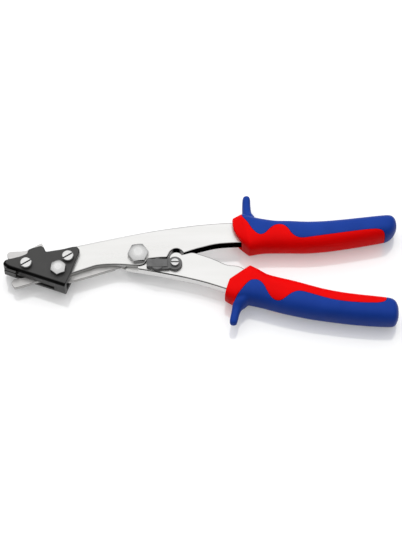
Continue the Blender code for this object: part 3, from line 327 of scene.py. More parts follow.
# Seam between the halves of a grip, in shares of its length and width
UPPER_SEAM_SHARES = (
    (-0.14, 0.95, 0), (0.063, 0.95, 0), (0.060, 0.50, 1), (0.094, 0.31, 1), (0.122, 0.03, 1),
    (0.162, -0.175, 1), (0.198, -0.155, 1), (0.230, 0.03, 1), (0.264, 0.185, 1), (0.308, 0.21, 1),
    (0.342, 0.055, 1), (0.364, -0.165, 1), (0.412, -0.29, 1), (0.492, -0.235, 1),
    (0.665, -0.10, 1), (0.821, 0.02, 1), (0.899, 0.045, 1), (0.926, -0.06, 1), (0.925, -0.22, 1),
    (0.895, -0.60, 1), (0.865, -1.4, 0), (-0.14, -1.4, 0),
)
LOWER_SEAM_SHARES = (
    (-0.14, 1.3, 0), (-0.14, -0.78, 0), (-0.012, -0.77, 0.5), (0.014, -0.645, 1),
    (0.030, -0.49, 1), (0.055, -0.345, 1), (0.083, -0.155, 1), (0.116, 0.005, 1),
    (0.160, 0.0, 1), (0.192, -0.155, 1), (0.213, -0.42, 1), (0.244, -0.635, 1),
    (0.288, -0.70, 1), (0.326, -0.575, 1), (0.358, -0.445, 1), (0.405, -0.365, 1),
    (0.499, -0.53, 1), (0.601, -0.69, 1), (0.702, -0.77, 1), (0.804, -0.80, 1),
    (0.883, -0.795, 1), (0.916, -0.71, 1), (0.920, -0.48, 1), (0.925, 0.35, 1), (0.925, 1.3, 0),
)

# Upper arm's black inner side: where it starts along X, and how far it faces down
INNER_SIDE_START = (0.016, 0.020)
INNER_SIDE_FACING = (-0.95, -0.7)
INNER_SIDE_STOPS = (0.1, 0.9)
INNER_SIDE_TONE = 0.02
# Painted shade in slots and corners
CREASE_REACH = 0.0012
CREASE_STOPS = (0.45, 0.85)
CREASE_SHADE = 0.10
# How much a normal points up or down where a side ends, a rim starts and ends, and a face starts
RIM_STOPS = (0.08, 0.20, 0.93, 0.99)
# Where the two tones of the patches start and end in their noise
PATCH_STOPS = (0.3, 0.7)

# Finishes of the record's slots, and one more for the upper arm. A row holds two tones, the range
# of the roughness, how metallic it is, its patches, its grain, the specular level, and the painted
# shade of upright sides and of rims, tones that stand in for the dark reflections there. Patches
# and grain hold their noise's scale, detail and stretch, and a grain ends with the strength and the
# depth of its bump.
EVEN = (1, 1, 1)
BRUSHED = (0.12, 1, 1)
METAL = 1.0
SPECULAR = 0.5
STEEL = (
    ((0.82, 0.815, 0.80), (0.90, 0.895, 0.885)), (0.26, 0.38), METAL,
    (90, 4, BRUSHED), (2600, 3, BRUSHED, 0.25, 0.00003), SPECULAR,
)
PLASTIC_PATCHES = (60, 3, EVEN)
PLASTIC_GRAIN = (2800, 2, EVEN, 0.25, 0.00005)
FINISHES = {
    "bright_steel": (*STEEL, (0.85, 0.07)),
    "upper_steel": (*STEEL, (0.42, 0.16)),
    "zinc_plate": (
        ((0.71, 0.71, 0.705), (0.81, 0.81, 0.805)), (0.20, 0.30), METAL,
        (120, 2, EVEN), (1800, 3, EVEN, 0.05, 0.00002), SPECULAR, (0.26, 0.80)),
    "blade_steel": (
        ((0.62, 0.61, 0.60), (0.74, 0.73, 0.72)), (0.36, 0.48), METAL,
        (160, 4, EVEN), (2200, 3, EVEN, 0.3, 0.00004), SPECULAR, (0.6, 0.10)),
    "spring_steel": (
        ((0.24, 0.24, 0.25), (0.36, 0.36, 0.37)), (0.25, 0.40), METAL,
        (400, 3, EVEN), (2500, 2, EVEN, 0.2, 0.00002), SPECULAR, None),
    "black_coat": (
        ((0.016, 0.0155, 0.015), (0.024, 0.023, 0.022)), (0.34, 0.46), 0.0,
        (120, 4, EVEN), (3200, 4, EVEN, 0.35, 0.00005), 0.7, (0.55, 0.10)),
    "latch_steel": (
        ((0.10, 0.10, 0.10), (0.15, 0.15, 0.15)), (0.40, 0.55), 0.3,
        (250, 4, EVEN), (2600, 4, EVEN, 0.35, 0.00005), SPECULAR, (0.3, 0.45)),
    "red_grip": (
        ((0.72, 0.0008, 0.001), (0.78, 0.001, 0.0012)), (0.45, 0.55), 0.0,
        PLASTIC_PATCHES, PLASTIC_GRAIN, 0.05, None),
    "blue_grip": (
        ((0.006, 0.038, 0.265), (0.009, 0.046, 0.305)), (0.42, 0.52), 0.0,
        PLASTIC_PATCHES, PLASTIC_GRAIN, 0.1, None),
}

REPLACED_NODES = (
    "upper_arm", "lower_lever", "die_head", "punch_blade", "main_bolt", "blade_bolt", "latch",
    "opening_spring", "upper_grip_inner", "upper_grip_outer", "lower_grip_inner",
    "lower_grip_outer",
)


def make_camera():
    """A camera at the photograph's angle, distance and scale."""
    camera = bpy.data.cameras.new("camera")
    camera.sensor_width = SENSOR_WIDTH * MILLIMETRES
    half_width = max(PICTURE_SIZE) / PIXELS_PER_METRE / 2
    camera.lens = camera.sensor_width / 2 * CAMERA_DISTANCE / half_width
    camera.clip_start = CLIP_START
    camera.clip_end = CLIP_END
    back = Vector((0, -math.cos(CAMERA_ELEVATION), math.sin(CAMERA_ELEVATION)))
    holder = bpy.data.objects.new("camera", camera)
    holder.location = CAMERA_TARGET + back * CAMERA_DISTANCE
    holder.rotation_mode = "QUATERNION"
    holder.rotation_quaternion = (-back).to_track_quat("-Z", "Y")
    bpy.context.scene.collection.objects.link(holder)
    bpy.context.scene.camera = holder


def node_tree(owner):
    """Empty nodes and links of a material or a world."""
    owner.use_nodes = True
    tree = owner.node_tree
    tree.nodes.clear()
    return tree.nodes, tree.links


def calculate(nodes, links, operation, first, second):
    """A math node over sockets or numbers."""
    node = nodes.new("ShaderNodeMath")
    node.operation = operation
    for socket, value in zip(node.inputs, (first, second)):
        if isinstance(value, (int, float)):
            socket.default_value = value
        else:
            links.new(value, socket)
    return node.outputs["Value"]


def make_sky():
    """White above and behind, and dim low in front, which shades the edges that face front."""
    world = bpy.data.worlds.new("studio")
    bpy.context.scene.world = world
    nodes, links = node_tree(world)
    place = nodes.new("ShaderNodeTexCoord")
    split = nodes.new("ShaderNodeSeparateXYZ")
    links.new(place.outputs["Generated"], split.inputs["Vector"])
    lean = calculate(nodes, links, "MULTIPLY", split.outputs["Y"], SKY_TILT)
    height = calculate(nodes, links, "ADD", split.outputs["Z"], lean)
    ramp = nodes.new("ShaderNodeValToRGB")
    ramp.color_ramp.interpolation = "EASE"
    ramp.color_ramp.elements[0].position = SKY_DIM_TOP
    ramp.color_ramp.elements[0].color = (*SKY_DIM, 1)
    ramp.color_ramp.elements[1].position = SKY_BRIGHT_START
    ramp.color_ramp.elements[1].color = (*SKY_BRIGHT, 1)
    sky = nodes.new("ShaderNodeBackground")
    sky.inputs["Strength"].default_value = SKY_STRENGTH
    output = nodes.new("ShaderNodeOutputWorld")
    links.new(height, ramp.inputs["Fac"])
    links.new(ramp.outputs["Color"], sky.inputs["Color"])
    links.new(sky.outputs["Background"], output.inputs["Surface"])


def make_panel():
    """A wide soft lamp above and behind, which brightens matt surfaces only."""
    panel = bpy.data.lights.new("panel", "AREA")
    panel.size = PANEL_SIZE
    panel.energy = PANEL_POWER
    holder = bpy.data.objects.new("panel", panel)
    holder.location = PANEL_PLACE
    holder.rotation_mode = "QUATERNION"
    holder.rotation_quaternion = (-Vector(PANEL_PLACE)).to_track_quat("-Z", "Y")
    holder.visible_glossy = False
    bpy.context.scene.collection.objects.link(holder)


def make_floor():
    """The white glossy table, lifted to white where the camera or a reflection sees it."""
    mesh = bpy.data.meshes.new("floor")
    bm = bmesh.new()
    bmesh.ops.create_grid(bm, x_segments=1, y_segments=1, size=FLOOR_SIZE / 2)
    bm.to_mesh(mesh)
    bm.free()
    floor = bpy.data.objects.new("floor", mesh)
    bpy.context.scene.collection.objects.link(floor)
    material = bpy.data.materials.new("floor")
    nodes, links = node_tree(material)
    matt = nodes.new("ShaderNodeBsdfDiffuse")
    matt.inputs["Color"].default_value = (*FLOOR_COLOUR, 1)
    gloss = nodes.new("ShaderNodeBsdfGlossy")
    gloss.inputs["Roughness"].default_value = FLOOR_GLOSS_ROUGHNESS
    mix = nodes.new("ShaderNodeMixShader")
    mix.inputs["Fac"].default_value = FLOOR_GLOSS
    links.new(matt.outputs["BSDF"], mix.inputs[1])
    links.new(gloss.outputs["BSDF"], mix.inputs[2])
    path = nodes.new("ShaderNodeLightPath")
    seen = calculate(
        nodes, links, "MAXIMUM", path.outputs["Is Camera Ray"], path.outputs["Is Glossy Ray"])
    seen = calculate(nodes, links, "MAXIMUM", seen, path.outputs["Is Transmission Ray"])
    lift = nodes.new("ShaderNodeEmission")
    links.new(calculate(nodes, links, "MULTIPLY", seen, FLOOR_LIFT), lift.inputs["Strength"])
    both = nodes.new("ShaderNodeAddShader")
    links.new(mix.outputs["Shader"], both.inputs[0])
    links.new(lift.outputs["Emission"], both.inputs[1])
    output = nodes.new("ShaderNodeOutputMaterial")
    links.new(both.outputs["Shader"], output.inputs["Surface"])
    mesh.materials.append(material)


def noise(nodes, links, scale, detail=3.0, stretch=(1, 1, 1)):
    """Noise over the object's own coordinates, stretched along its axes."""
    place = nodes.new("ShaderNodeTexCoord")
    mapping = nodes.new("ShaderNodeMapping")
    mapping.inputs["Scale"].default_value = stretch
    texture = nodes.new("ShaderNodeTexNoise")
    texture.inputs["Scale"].default_value = scale
    texture.inputs["Detail"].default_value = detail
    links.new(place.outputs["Object"], mapping.inputs["Vector"])
    links.new(mapping.outputs["Vector"], texture.inputs["Vector"])
    return texture.outputs["Fac"]


def colour_ramp(nodes, links, value, stops):
    """Colours spread over a value, as rows of a position and a colour."""
    ramp = nodes.new("ShaderNodeValToRGB")
    points = ramp.color_ramp.elements
    while len(points) < len(stops):
        points.new(1.0)
    for point, (position, colour) in zip(points, stops):
        point.position = position
        point.color = (*colour, 1)
    links.new(value, ramp.inputs["Fac"])
    return ramp.outputs["Color"]


def grey(tone):
    """An even colour."""
    return (tone, tone, tone)


def number_range(nodes, links, value, low, high, start, end):
    """Two numbers spread over a value, from its start to its end."""
    spread = nodes.new("ShaderNodeMapRange")
    spread.inputs["From Min"].default_value = start
    spread.inputs["From Max"].default_value = end
    spread.inputs["To Min"].default_value = low
    spread.inputs["To Max"].default_value = high
    links.new(value, spread.inputs["Value"])
    return spread.outputs["Result"]


def multiplied(nodes, links, first, second):
    """The product of two colours."""
    mix = nodes.new("ShaderNodeMix")
    mix.data_type = "RGBA"
    mix.blend_type = "MULTIPLY"
    mix.inputs["Factor"].default_value = 1.0
    links.new(first, mix.inputs["A"])
    links.new(second, mix.inputs["B"])
    return mix.outputs["Result"]


def painted_rim_shade(nodes, links, side, rim):
    """Painted shade and reflection by slope: flat faces stay, sloped rims and upright sides darken.
    """
    geometry = nodes.new("ShaderNodeNewGeometry")
    split = nodes.new("ShaderNodeSeparateXYZ")
    links.new(geometry.outputs["True Normal"], split.inputs["Vector"])
    upright = calculate(nodes, links, "ABSOLUTE", split.outputs["Z"], 0)
    tones = (grey(side), grey(rim), grey(rim), grey(1))
    return colour_ramp(nodes, links, upright, tuple(zip(RIM_STOPS, tones)))


def inner_side_tone(nodes, links):
    """Black on the upright sides that face the lower lever, from the notch to the grip."""
    place = nodes.new("ShaderNodeTexCoord")
    along = nodes.new("ShaderNodeSeparateXYZ")
    links.new(place.outputs["Object"], along.inputs["Vector"])
    geometry = nodes.new("ShaderNodeNewGeometry")
    facing = nodes.new("ShaderNodeSeparateXYZ")
    links.new(geometry.outputs["True Normal"], facing.inputs["Vector"])
    here = number_range(nodes, links, along.outputs["X"], 0, 1, *INNER_SIDE_START)
    down = number_range(nodes, links, facing.outputs["Y"], 1, 0, *INNER_SIDE_FACING)
    scale = calculate(nodes, links, "MULTIPLY", here, down)
    tones = (grey(1), grey(INNER_SIDE_TONE))
    return colour_ramp(nodes, links, scale, tuple(zip(INNER_SIDE_STOPS, tones)))


def painted_crease_shade(nodes, links):
    """Painted shade in slots and narrow corners, where the piece's own surfaces come near."""
    nearby = nodes.new("ShaderNodeAmbientOcclusion")
    nearby.only_local = True
    nearby.inputs["Distance"].default_value = CREASE_REACH
    tones = (grey(CREASE_SHADE), grey(1))
    return colour_ramp(nodes, links, nearby.outputs["AO"], tuple(zip(CREASE_STOPS, tones)))


def surface(name, tones, rough, metallic, patch, grain, specular, rim, extra):
    """A material from a row of the finishes, with one more tone where extra gives its maker."""
    material = bpy.data.materials.new(name)
    nodes, links = node_tree(material)
    shader = nodes.new("ShaderNodeBsdfPrincipled")
    shader.inputs["Metallic"].default_value = metallic
    shader.inputs["Specular IOR Level"].default_value = specular
    patches = noise(nodes, links, *patch)
    colour = colour_ramp(nodes, links, patches, tuple(zip(PATCH_STOPS, tones)))
    # Painted shade on rims and upright sides; on non-metals their specular level drops with it.
    if rim:
        tone = painted_rim_shade(nodes, links, *rim)
        colour = multiplied(nodes, links, colour, tone)
        if not metallic:
            shine = calculate(nodes, links, "MULTIPLY", tone, specular)
            links.new(shine, shader.inputs["Specular IOR Level"])
    # The extra tone: black inner sides on the upper arm, or painted shade in the zinc's slots.
    if extra:
        tone = extra(nodes, links)
        colour = multiplied(nodes, links, colour, tone)
        links.new(tone, shader.inputs["Specular Tint"])
    links.new(colour, shader.inputs["Base Color"])
    roughness = number_range(nodes, links, patches, *rough, *PATCH_STOPS)
    links.new(roughness, shader.inputs["Roughness"])
    scale, detail, stretch, strength, depth = grain
    bump = nodes.new("ShaderNodeBump")
    bump.inputs["Strength"].default_value = strength
    bump.inputs["Distance"].default_value = depth
    links.new(noise(nodes, links, scale, detail, stretch), bump.inputs["Height"])
    links.new(bump.outputs["Normal"], shader.inputs["Normal"])
    output = nodes.new("ShaderNodeOutputMaterial")
    links.new(shader.outputs["BSDF"], output.inputs["Surface"])
    return material


def make_materials():
    """One material for each row of the finishes."""
    extras = {"upper_steel": inner_side_tone, "zinc_plate": painted_crease_shade}
    return {name: surface(name, *row, extras.get(name)) for name, row in FINISHES.items()}


def smooth_flats(piece):
    """Keeps flat faces flat and lets the shading turn over the narrow rims between them."""
    weld = piece.modifiers.new("weld", "WELD")
    weld.merge_threshold = WELD_DISTANCE
    flat = piece.modifiers.new("flat", "DECIMATE")
    flat.decimate_type = "DISSOLVE"
    flat.angle_limit = FLAT_ANGLE
    split = piece.modifiers.new("split", "EDGE_SPLIT")
    split.split_angle = SHARP_ANGLE
    weighted = piece.modifiers.new("weighted", "WEIGHTED_NORMAL")
    weighted.keep_sharp = True


def dress_nodes(materials):
    """Gives each CAD node that stays the material of its slot and clean shading."""
    for row in frame["record"]["subparts"]:
        if row["node"] in REPLACED_NODES:
            continue
        node = frame["nodes"][row["node"]]
        node.data.materials.clear()
        node.data.materials.append(materials[row["material_slot"]])
        smooth_flats(node)


def on_circle(centre, radius, angle):
    """A point at an angle on a circle."""
    return centre + radius * Vector((math.cos(angle), math.sin(angle)))


def arc(centre, radius, start, end):
    """Outline corners along an arc, between two angles in degrees."""
    first = math.radians(start)
    turn = math.radians(end - start)
    steps = math.ceil(abs(turn) / CURVE_TURN)
    return [(on_circle(centre, radius, first + turn * i / steps), 0) for i in range(steps + 1)]


def circle(centre, radius):
    """Outline corners of a full circle."""
    turns = [math.tau * side / ROUND_SIDES for side in range(ROUND_SIDES)]
    return [(on_circle(centre, radius, turn), 0) for turn in turns]


def corners(shares, along, across, origin=ORIGIN, turn=0):
    """Outline corners from a table of shares of two lengths."""
    turned = Matrix.Rotation(turn, 2)
    return [(origin + turned @ Vector((a * along, b * across)), c) for a, b, c in shares]


def head_box(left, right, low, high, roundness=0):
    """Outline of a rectangle in the head's own directions."""
    spots = ((left, low, roundness), (right, low, 0), (right, high, 0), (left, high, 0))
    return corners(spots, 1, 1, BLADE_PIVOT, HEAD_TILT)


def head_point(shares):
    """A place in the head's own directions, from shares of its length and depth."""
    along, across = shares
    place = Vector((along * HEAD_LENGTH, across * HEAD_DEPTH))
    return BLADE_PIVOT + Matrix.Rotation(HEAD_TILT, 2) @ place


def rounded(outline):
    """Points of an outline whose corners are rounded as far as each row says."""
    points = []
    for index, (corner, roundness) in enumerate(outline):
        if roundness == 0:
            points.append(corner)
            continue
        before = outline[index - 1][0]
        after = outline[(index + 1) % len(outline)][0]
        start = corner.lerp(before, roundness / 2)
        end = corner.lerp(after, roundness / 2)
        turn = abs((corner - before).angle_signed(after - corner))
        steps = max(1, math.ceil(turn / CURVE_TURN))
        for step in range(steps + 1):
            share = step / steps
            points.append(start.lerp(corner, share).lerp(corner.lerp(end, share), share))
    points = [p for i, p in enumerate(points) if (p - points[i - 1]).length > POINT_SPACING]
    area = sum(points[i - 1].cross(p) for i, p in enumerate(points))
    return points if area > 0 else points[::-1]


def moved_out(points, gap):
    """Points of a closed outline moved outward by a gap."""
    result = []
    for index, point in enumerate(points):
        edge_in = (point - points[index - 1]).normalized()
        edge_out = (points[(index + 1) % len(points)] - point).normalized()
        normal = (edge_in + edge_out).normalized()
        normal = Vector((normal.y, -normal.x))
        reach = gap / max(normal.dot(Vector((edge_in.y, -edge_in.x))), MITRE_SHARE)
        result.append(point + normal * reach)
    return result


def widened(outline, gap):
    """The outline moved outward by a gap, as sharp corners."""
    return [(point, 0) for point in moved_out(rounded(outline), gap)]


def prism(outline, low, high, rim=0, steps=RIM_STEPS):
    """A plate between two heights, with both rims rounded."""
    points = rounded(outline)
    quarter = math.pi / 2
    levels = []
    if rim:
        for step in range(steps + 1):
            angle = quarter * step / steps
            levels.append((rim * (1 - math.cos(angle)), rim * (1 - math.sin(angle))))
    else:
        levels.append((0, 0))
    rows = [(inset, low + lift) for inset, lift in levels[::-1]]
    rows += [(inset, high - lift) for inset, lift in levels]
    bm = bmesh.new()
    rings = []
    for inset, height in rows:
        ring = moved_out(points, -inset) if inset else points
        rings.append([bm.verts.new((p.x, p.y, height)) for p in ring])
    for first, second in zip(rings, rings[1:]):
        for index in range(len(points)):
            bm.faces.new((first[index - 1], first[index], second[index], second[index - 1]))
    bm.faces.new(rings[0][::-1])
    bm.faces.new(rings[-1])
    return bm


def loft(rings):
    """A closed skin through rings of points."""
    bm = bmesh.new()
    loops = [[bm.verts.new(point) for point in ring] for ring in rings]
    for first, second in zip(loops, loops[1:]):
        for index in range(len(first)):
            bm.faces.new((first[index - 1], first[index], second[index], second[index - 1]))
    bm.faces.new(loops[0])
    bm.faces.new(loops[-1])
    return bm


def new_piece(name, bm):
    """Turns a bmesh into a smooth object."""
    bmesh.ops.recalc_face_normals(bm, faces=bm.faces)
    mesh = bpy.data.meshes.new(name)
    bm.to_mesh(mesh)
    bm.free()
    mesh.shade_smooth()
    piece = bpy.data.objects.new(name, mesh)
    bpy.context.scene.collection.objects.link(piece)
    return piece


def apply_modifiers(piece):
    """Puts the result of a piece's modifiers into its mesh."""
    graph = bpy.context.evaluated_depsgraph_get()
    mesh = bpy.data.meshes.new_from_object(piece.evaluated_get(graph))
    piece.modifiers.clear()
    old, piece.data = piece.data, mesh
    bpy.data.meshes.remove(old)
    mesh.name = piece.name


def combine(piece, *steps):
    """Joins, cuts or trims a piece with other shapes, one after the other."""
    tools = []
    for operation, bm in steps:
        tool = new_piece("tool", bm)
        modifier = piece.modifiers.new(operation, "BOOLEAN")
        modifier.operation = operation
        modifier.solver = "EXACT"
        modifier.object = tool
        tools.append(tool)
    apply_modifiers(piece)
    for tool in tools:
        mesh = tool.data
        bpy.data.objects.remove(tool)
        bpy.data.meshes.remove(mesh)


def finish_piece(piece, node, body, material):
    """Puts a piece in the place of a node, on its body and with its finish."""
    piece.data.materials.clear()
    piece.data.materials.append(material)
    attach(piece, body)
    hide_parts(node)


def bore(centre, radius, low, high):
    """A step that bores a round hole between two heights."""
    return "DIFFERENCE", prism(circle(centre, radius), low, high)


def arm_outline():
    """Outline of the upper arm with its tang, clockwise from the belly."""
    outline = corners(ARM_BELLY_SHARES, LOBE_REACH, ARM_RISE)
    outline += corners(ARM_TIP_SHARES, HEAD_LENGTH, HEAD_DEPTH, BLADE_PIVOT, HEAD_TILT)
    outline += corners(ARM_CROWN_SHARES, BLADE_PIVOT_REACH, ARM_RISE)
    outline += corners(ARM_TOP_SHARES, ARM_REACH, ARM_RISE)
    outline += corners(ARM_TANG_SHARES, GRIP_LENGTH, GRIP_WIDTH, UPPER_GRIP)
    outline += corners(ARM_UNDER_SHARES, ARM_REACH, ARM_RISE)
    side = LOBE_RADIUS + NOTCH_SIDE_GAP
    crest = NOTCH_TOP_GAP - NOTCH_SIDE_GAP
    for point, roundness in arc(LOBE, side, *NOTCH_ARC):
        lift = crest * (point.y - LOBE.y) / side
        outline.append((point + Vector((0, lift)), roundness))
    return outline + corners(ARM_THROAT_SHARES, LOBE_REACH, ARM_RISE)


def lever_outline():
    """Outline of the lower lever with its nose and tang, clockwise from the tang's end."""
    outline = corners(LEVER_TANG_LOW_SHARES, GRIP_LENGTH, GRIP_WIDTH, LOWER_GRIP)
    outline += corners(LEVER_LOW_SHARES, ARM_REACH, ARM_RISE)
    outline += arc(DRIVE_PIN, DRIVE_NOSE_RADIUS, *NOSE_ARC)
    outline += arc(ORIGIN, LAP_DISC_RADIUS, *DISC_ARC)
    ledge = LOBE + Vector((-LOBE_RADIUS - LAP_STEP, -LAP_STEP / 2))
    outline.append((ledge, LAP_ROUNDNESS))
    outline += arc(LOBE, LOBE_RADIUS, *LOBE_ARC)
    outline += corners(LEVER_TOP_SHARES, ARM_REACH, ARM_RISE)
    return outline + corners(LEVER_TANG_TOP_SHARES, GRIP_LENGTH, GRIP_WIDTH, LOWER_GRIP)


def spring_pin_place(side):
    """Place of the pin that a spring leg pushes, above or below the pivot."""
    across = SPRING_RADIUS + SPRING_WIRE / 2 + FIT_GAP + SPRING_PIN_RADIUS
    return Vector((SPRING_PIN_REACH, side * across))


def upper_arm(materials):
    """The upper arm with rounded rims."""
    arm = new_piece("upper_arm_form", prism(arm_outline(), LEVER_BACK, LEVER_FRONT, LEVER_RIM))
    far = BLADE_PIVOT_REACH * 2
    lap = arc(ORIGIN, LAP_DISC_RADIUS + LAP_CLEARANCE, *LAP_ARC)
    edge = lap[-1][0].x
    around = ((edge, -far), (-far, -far), (-far, far), (0, far))
    lap += [(Vector(spot), 0) for spot in around]
    above = LEVER_FRONT + CUT_OVERRUN
    pin_top = LEVER_BACK + SPRING_PIN_DEPTH + FIT_GAP
    combine(
        arm, ("DIFFERENCE", prism(lap, LEVER_BACK - CUT_OVERRUN, LAP_FRONT)),
        bore(ORIGIN, MAIN_BOLT_RADIUS + FIT_GAP, LEVER_BACK, above),
        bore(BLADE_PIVOT, BLADE_BOLT_RADIUS + FIT_GAP, LEVER_BACK, above),
        bore(head_point(REAR_SCREW_SHARES), HEAD_SCREW_RADIUS + FIT_GAP, LEVER_BACK, above),
        bore(spring_pin_place(1), SPRING_PIN_RADIUS + FIT_GAP, -CUT_OVERRUN, pin_top))
    smooth_flats(arm)
    finish_piece(arm, "upper_arm", "upper", materials["upper_steel"])


def lower_lever(materials):
    """The lower lever with rounded rims."""
    plate = prism(lever_outline(), LEVER_BACK, LEVER_FRONT, LEVER_RIM)
    lever = new_piece("lower_lever_form", plate)
    far = BLADE_PIVOT_REACH * 2
    ledge = LOBE.y - LAP_STEP
    start = math.degrees(math.asin(ledge / LAP_HOLLOW_RADIUS))
    end = LAP_DISC_RADIUS + LAP_STEP
    lap = arc(ORIGIN, LAP_HOLLOW_RADIUS, -90, start)
    around = ((end, ledge), (end, far), (-far, far), (-far, -far), (0, -far))
    lap += [(Vector(spot), 0) for spot in around]
    above = LEVER_FRONT + CUT_OVERRUN
    screw_floor = LEVER_FRONT - LATCH_SCREW_DEPTH - FIT_GAP
    pin_top = LEVER_BACK + SPRING_PIN_DEPTH + FIT_GAP
    combine(
        lever, ("DIFFERENCE", prism(lap, LAP_BACK, above)),
        bore(DRIVE_PIN, FORK_ROOM_RADIUS, NOSE_FRONT, above),
        bore(ORIGIN, MAIN_BOLT_RADIUS + FIT_GAP, -CUT_OVERRUN, above),
        bore(DRIVE_PIN, DRIVE_PIN_RADIUS + FIT_GAP, -CUT_OVERRUN, above),
        bore(LATCH_PIVOT, LATCH_SCREW_RADIUS + FIT_GAP, screw_floor, above),
        bore(spring_pin_place(-1), SPRING_PIN_RADIUS + FIT_GAP, -CUT_OVERRUN, pin_top))
    smooth_flats(lever)
    finish_piece(lever, "lower_lever", "lower", materials["bright_steel"])


def die_head(materials):
    """The black die head, with a wide bend between its cheeks and its web."""
    outline = corners(CHEEK_SHARES, HEAD_LENGTH, HEAD_DEPTH, BLADE_PIVOT, HEAD_TILT)
    head = new_piece("die_head_form", prism(outline, HEAD_BACK, HEAD_FRONT, HEAD_RIM))
    nose = HEAD_LENGTH * NOSE_SHARE
    web_out = HEAD_DEPTH * WEB_SHARE
    web_in = web_out + WEB_THICKNESS
    left, right = (HEAD_LENGTH * share for share in WEB_SLOT_SHARES)
    skim = POINT_SPACING
    bent = head_box(nose + skim, HEAD_LENGTH, web_out + skim, HEAD_DEPTH)
    bent = [(bent[0][0], 2 * HEAD_BEND_CORNER / HEAD_LENGTH)] + bent[1:]
    low, high = BLADE_BACK - WEB_SLOT_CLEARANCE, BLADE_FRONT + WEB_SLOT_CLEARANCE
    holes = [(BLADE_PIVOT, BLADE_BOLT_RADIUS)]
    for shares in (FRONT_SCREW_SHARES, REAR_SCREW_SHARES):
        holes.append((head_point(shares), HEAD_SCREW_RADIUS))
    below, above = -CUT_OVERRUN, HEAD_FRONT + CUT_OVERRUN
    inside = head_box(nose, HEAD_LENGTH, web_in, HEAD_DEPTH)
    slot = head_box(left, right, web_out - CUT_OVERRUN, web_in + WEB_THICKNESS)
    combine(
        head,
        ("INTERSECT", prism(bent, HEAD_BACK - skim, HEAD_FRONT + skim, HEAD_BEND, HEAD_BEND_STEPS)),
        ("DIFFERENCE", prism(inside, CHEEK_BACK, CHEEK_FRONT)),
        ("DIFFERENCE", prism(slot, low, high)),
        *(bore(centre, radius + FIT_GAP, below, above) for centre, radius in holes))
    smooth_flats(head)
    finish_piece(head, "die_head", "upper", materials["black_coat"])


def punch_blade(materials):
    """The punch blade with rounded rims."""
    outline = corners(BLADE_FRONT_SHARES, HEAD_LENGTH, HEAD_DEPTH, BLADE_PIVOT, HEAD_TILT)
    gap = (DRIVE_PIN - BLADE_PIVOT).length
    heading = math.atan2(-BLADE_PIVOT.y, -BLADE_PIVOT.x)
    across = FORK_HALF_WIDTH
    outline += corners(TAIL_LOW_SHARES, gap, across, BLADE_PIVOT, heading)
    slot = DRIVE_PIN_RADIUS + FORK_CLEARANCE
    tip = gap + FORK_TIP
    low_prong = [(tip, -across, PRONG_ROUNDNESS), (tip, -slot, 0)]
    outline += corners(low_prong, 1, 1, BLADE_PIVOT, heading)
    start, end = (math.degrees(heading) + angle for angle in FORK_ARC)
    outline += arc(DRIVE_PIN, slot, start, end)
    high_prong = [(tip, slot, 0), (tip, across, PRONG_ROUNDNESS)]
    outline += corners(high_prong, 1, 1, BLADE_PIVOT, heading)
    outline += corners(TAIL_TOP_SHARES, gap, across, BLADE_PIVOT, heading)
    blade = new_piece("punch_blade_form", prism(outline, BLADE_BACK, BLADE_FRONT, BLADE_RIM))
    combine(
        blade, bore(DRIVE_PIN, FORK_ROOM_RADIUS, -CUT_OVERRUN, FORK_BACK),
        bore(BLADE_PIVOT, BLADE_BOLT_RADIUS + FIT_GAP, -CUT_OVERRUN, LEVER_FRONT))
    smooth_flats(blade)
    finish_piece(blade, "punch_blade", "blade", materials["blade_steel"])


def hex_bolt(node, centre, shank, flats, seat, height, turn, materials):
    """A hexagon bolt with a smooth domed head."""
    corner = flats / 2 / math.cos(math.pi / HEX_SIDES)
    top = seat + height
    profile = [(shank - HEAD_RIM, 0), (shank, HEAD_RIM), (shank, seat), (corner, seat)]
    flat = HEX_DOME_FLAT_SHARE ** 2
    for step in range(DOME_STEPS + 1):
        share = 1 - (1 - HEX_DOME_FLAT_SHARE) * step / DOME_STEPS
        drop = height * HEX_DOME_SHARE * (share ** 2 - flat) / (1 - flat)
        profile.append((corner * share, top - drop))
    rings = []
    for radius, level in profile:
        spots = (on_circle(centre, radius, math.tau * i / ROUND_SIDES) for i in range(ROUND_SIDES))
        rings.append([(spot.x, spot.y, level) for spot in spots])
    bolt = new_piece(node + "_form", loft(rings))
    turns = [turn + math.tau / HEX_SIDES * side for side in range(HEX_SIDES)]
    spots = [(on_circle(centre, corner, angle), 0) for angle in turns]
    combine(bolt, ("INTERSECT", prism(spots, -CUT_OVERRUN, top + CUT_OVERRUN)))
    bolt.data.shade_smooth()
    bolt.data.set_sharp_from_angle(angle=HEX_ANGLE)
    finish_piece(bolt, node, "upper", materials["zinc_plate"])


def bolts(materials):
    """The bolts of the two pivots."""
    hex_bolt("main_bolt", ORIGIN, MAIN_BOLT_RADIUS, MAIN_HEX_FLATS, LEVER_FRONT + FIT_GAP,
             MAIN_HEX_HEIGHT, MAIN_HEX_TURN, materials)
    hex_bolt("blade_bolt", BLADE_PIVOT, BLADE_BOLT_RADIUS, BLADE_HEX_FLATS, HEAD_FRONT + FIT_GAP,
             BLADE_HEX_HEIGHT, BLADE_HEX_TURN, materials)


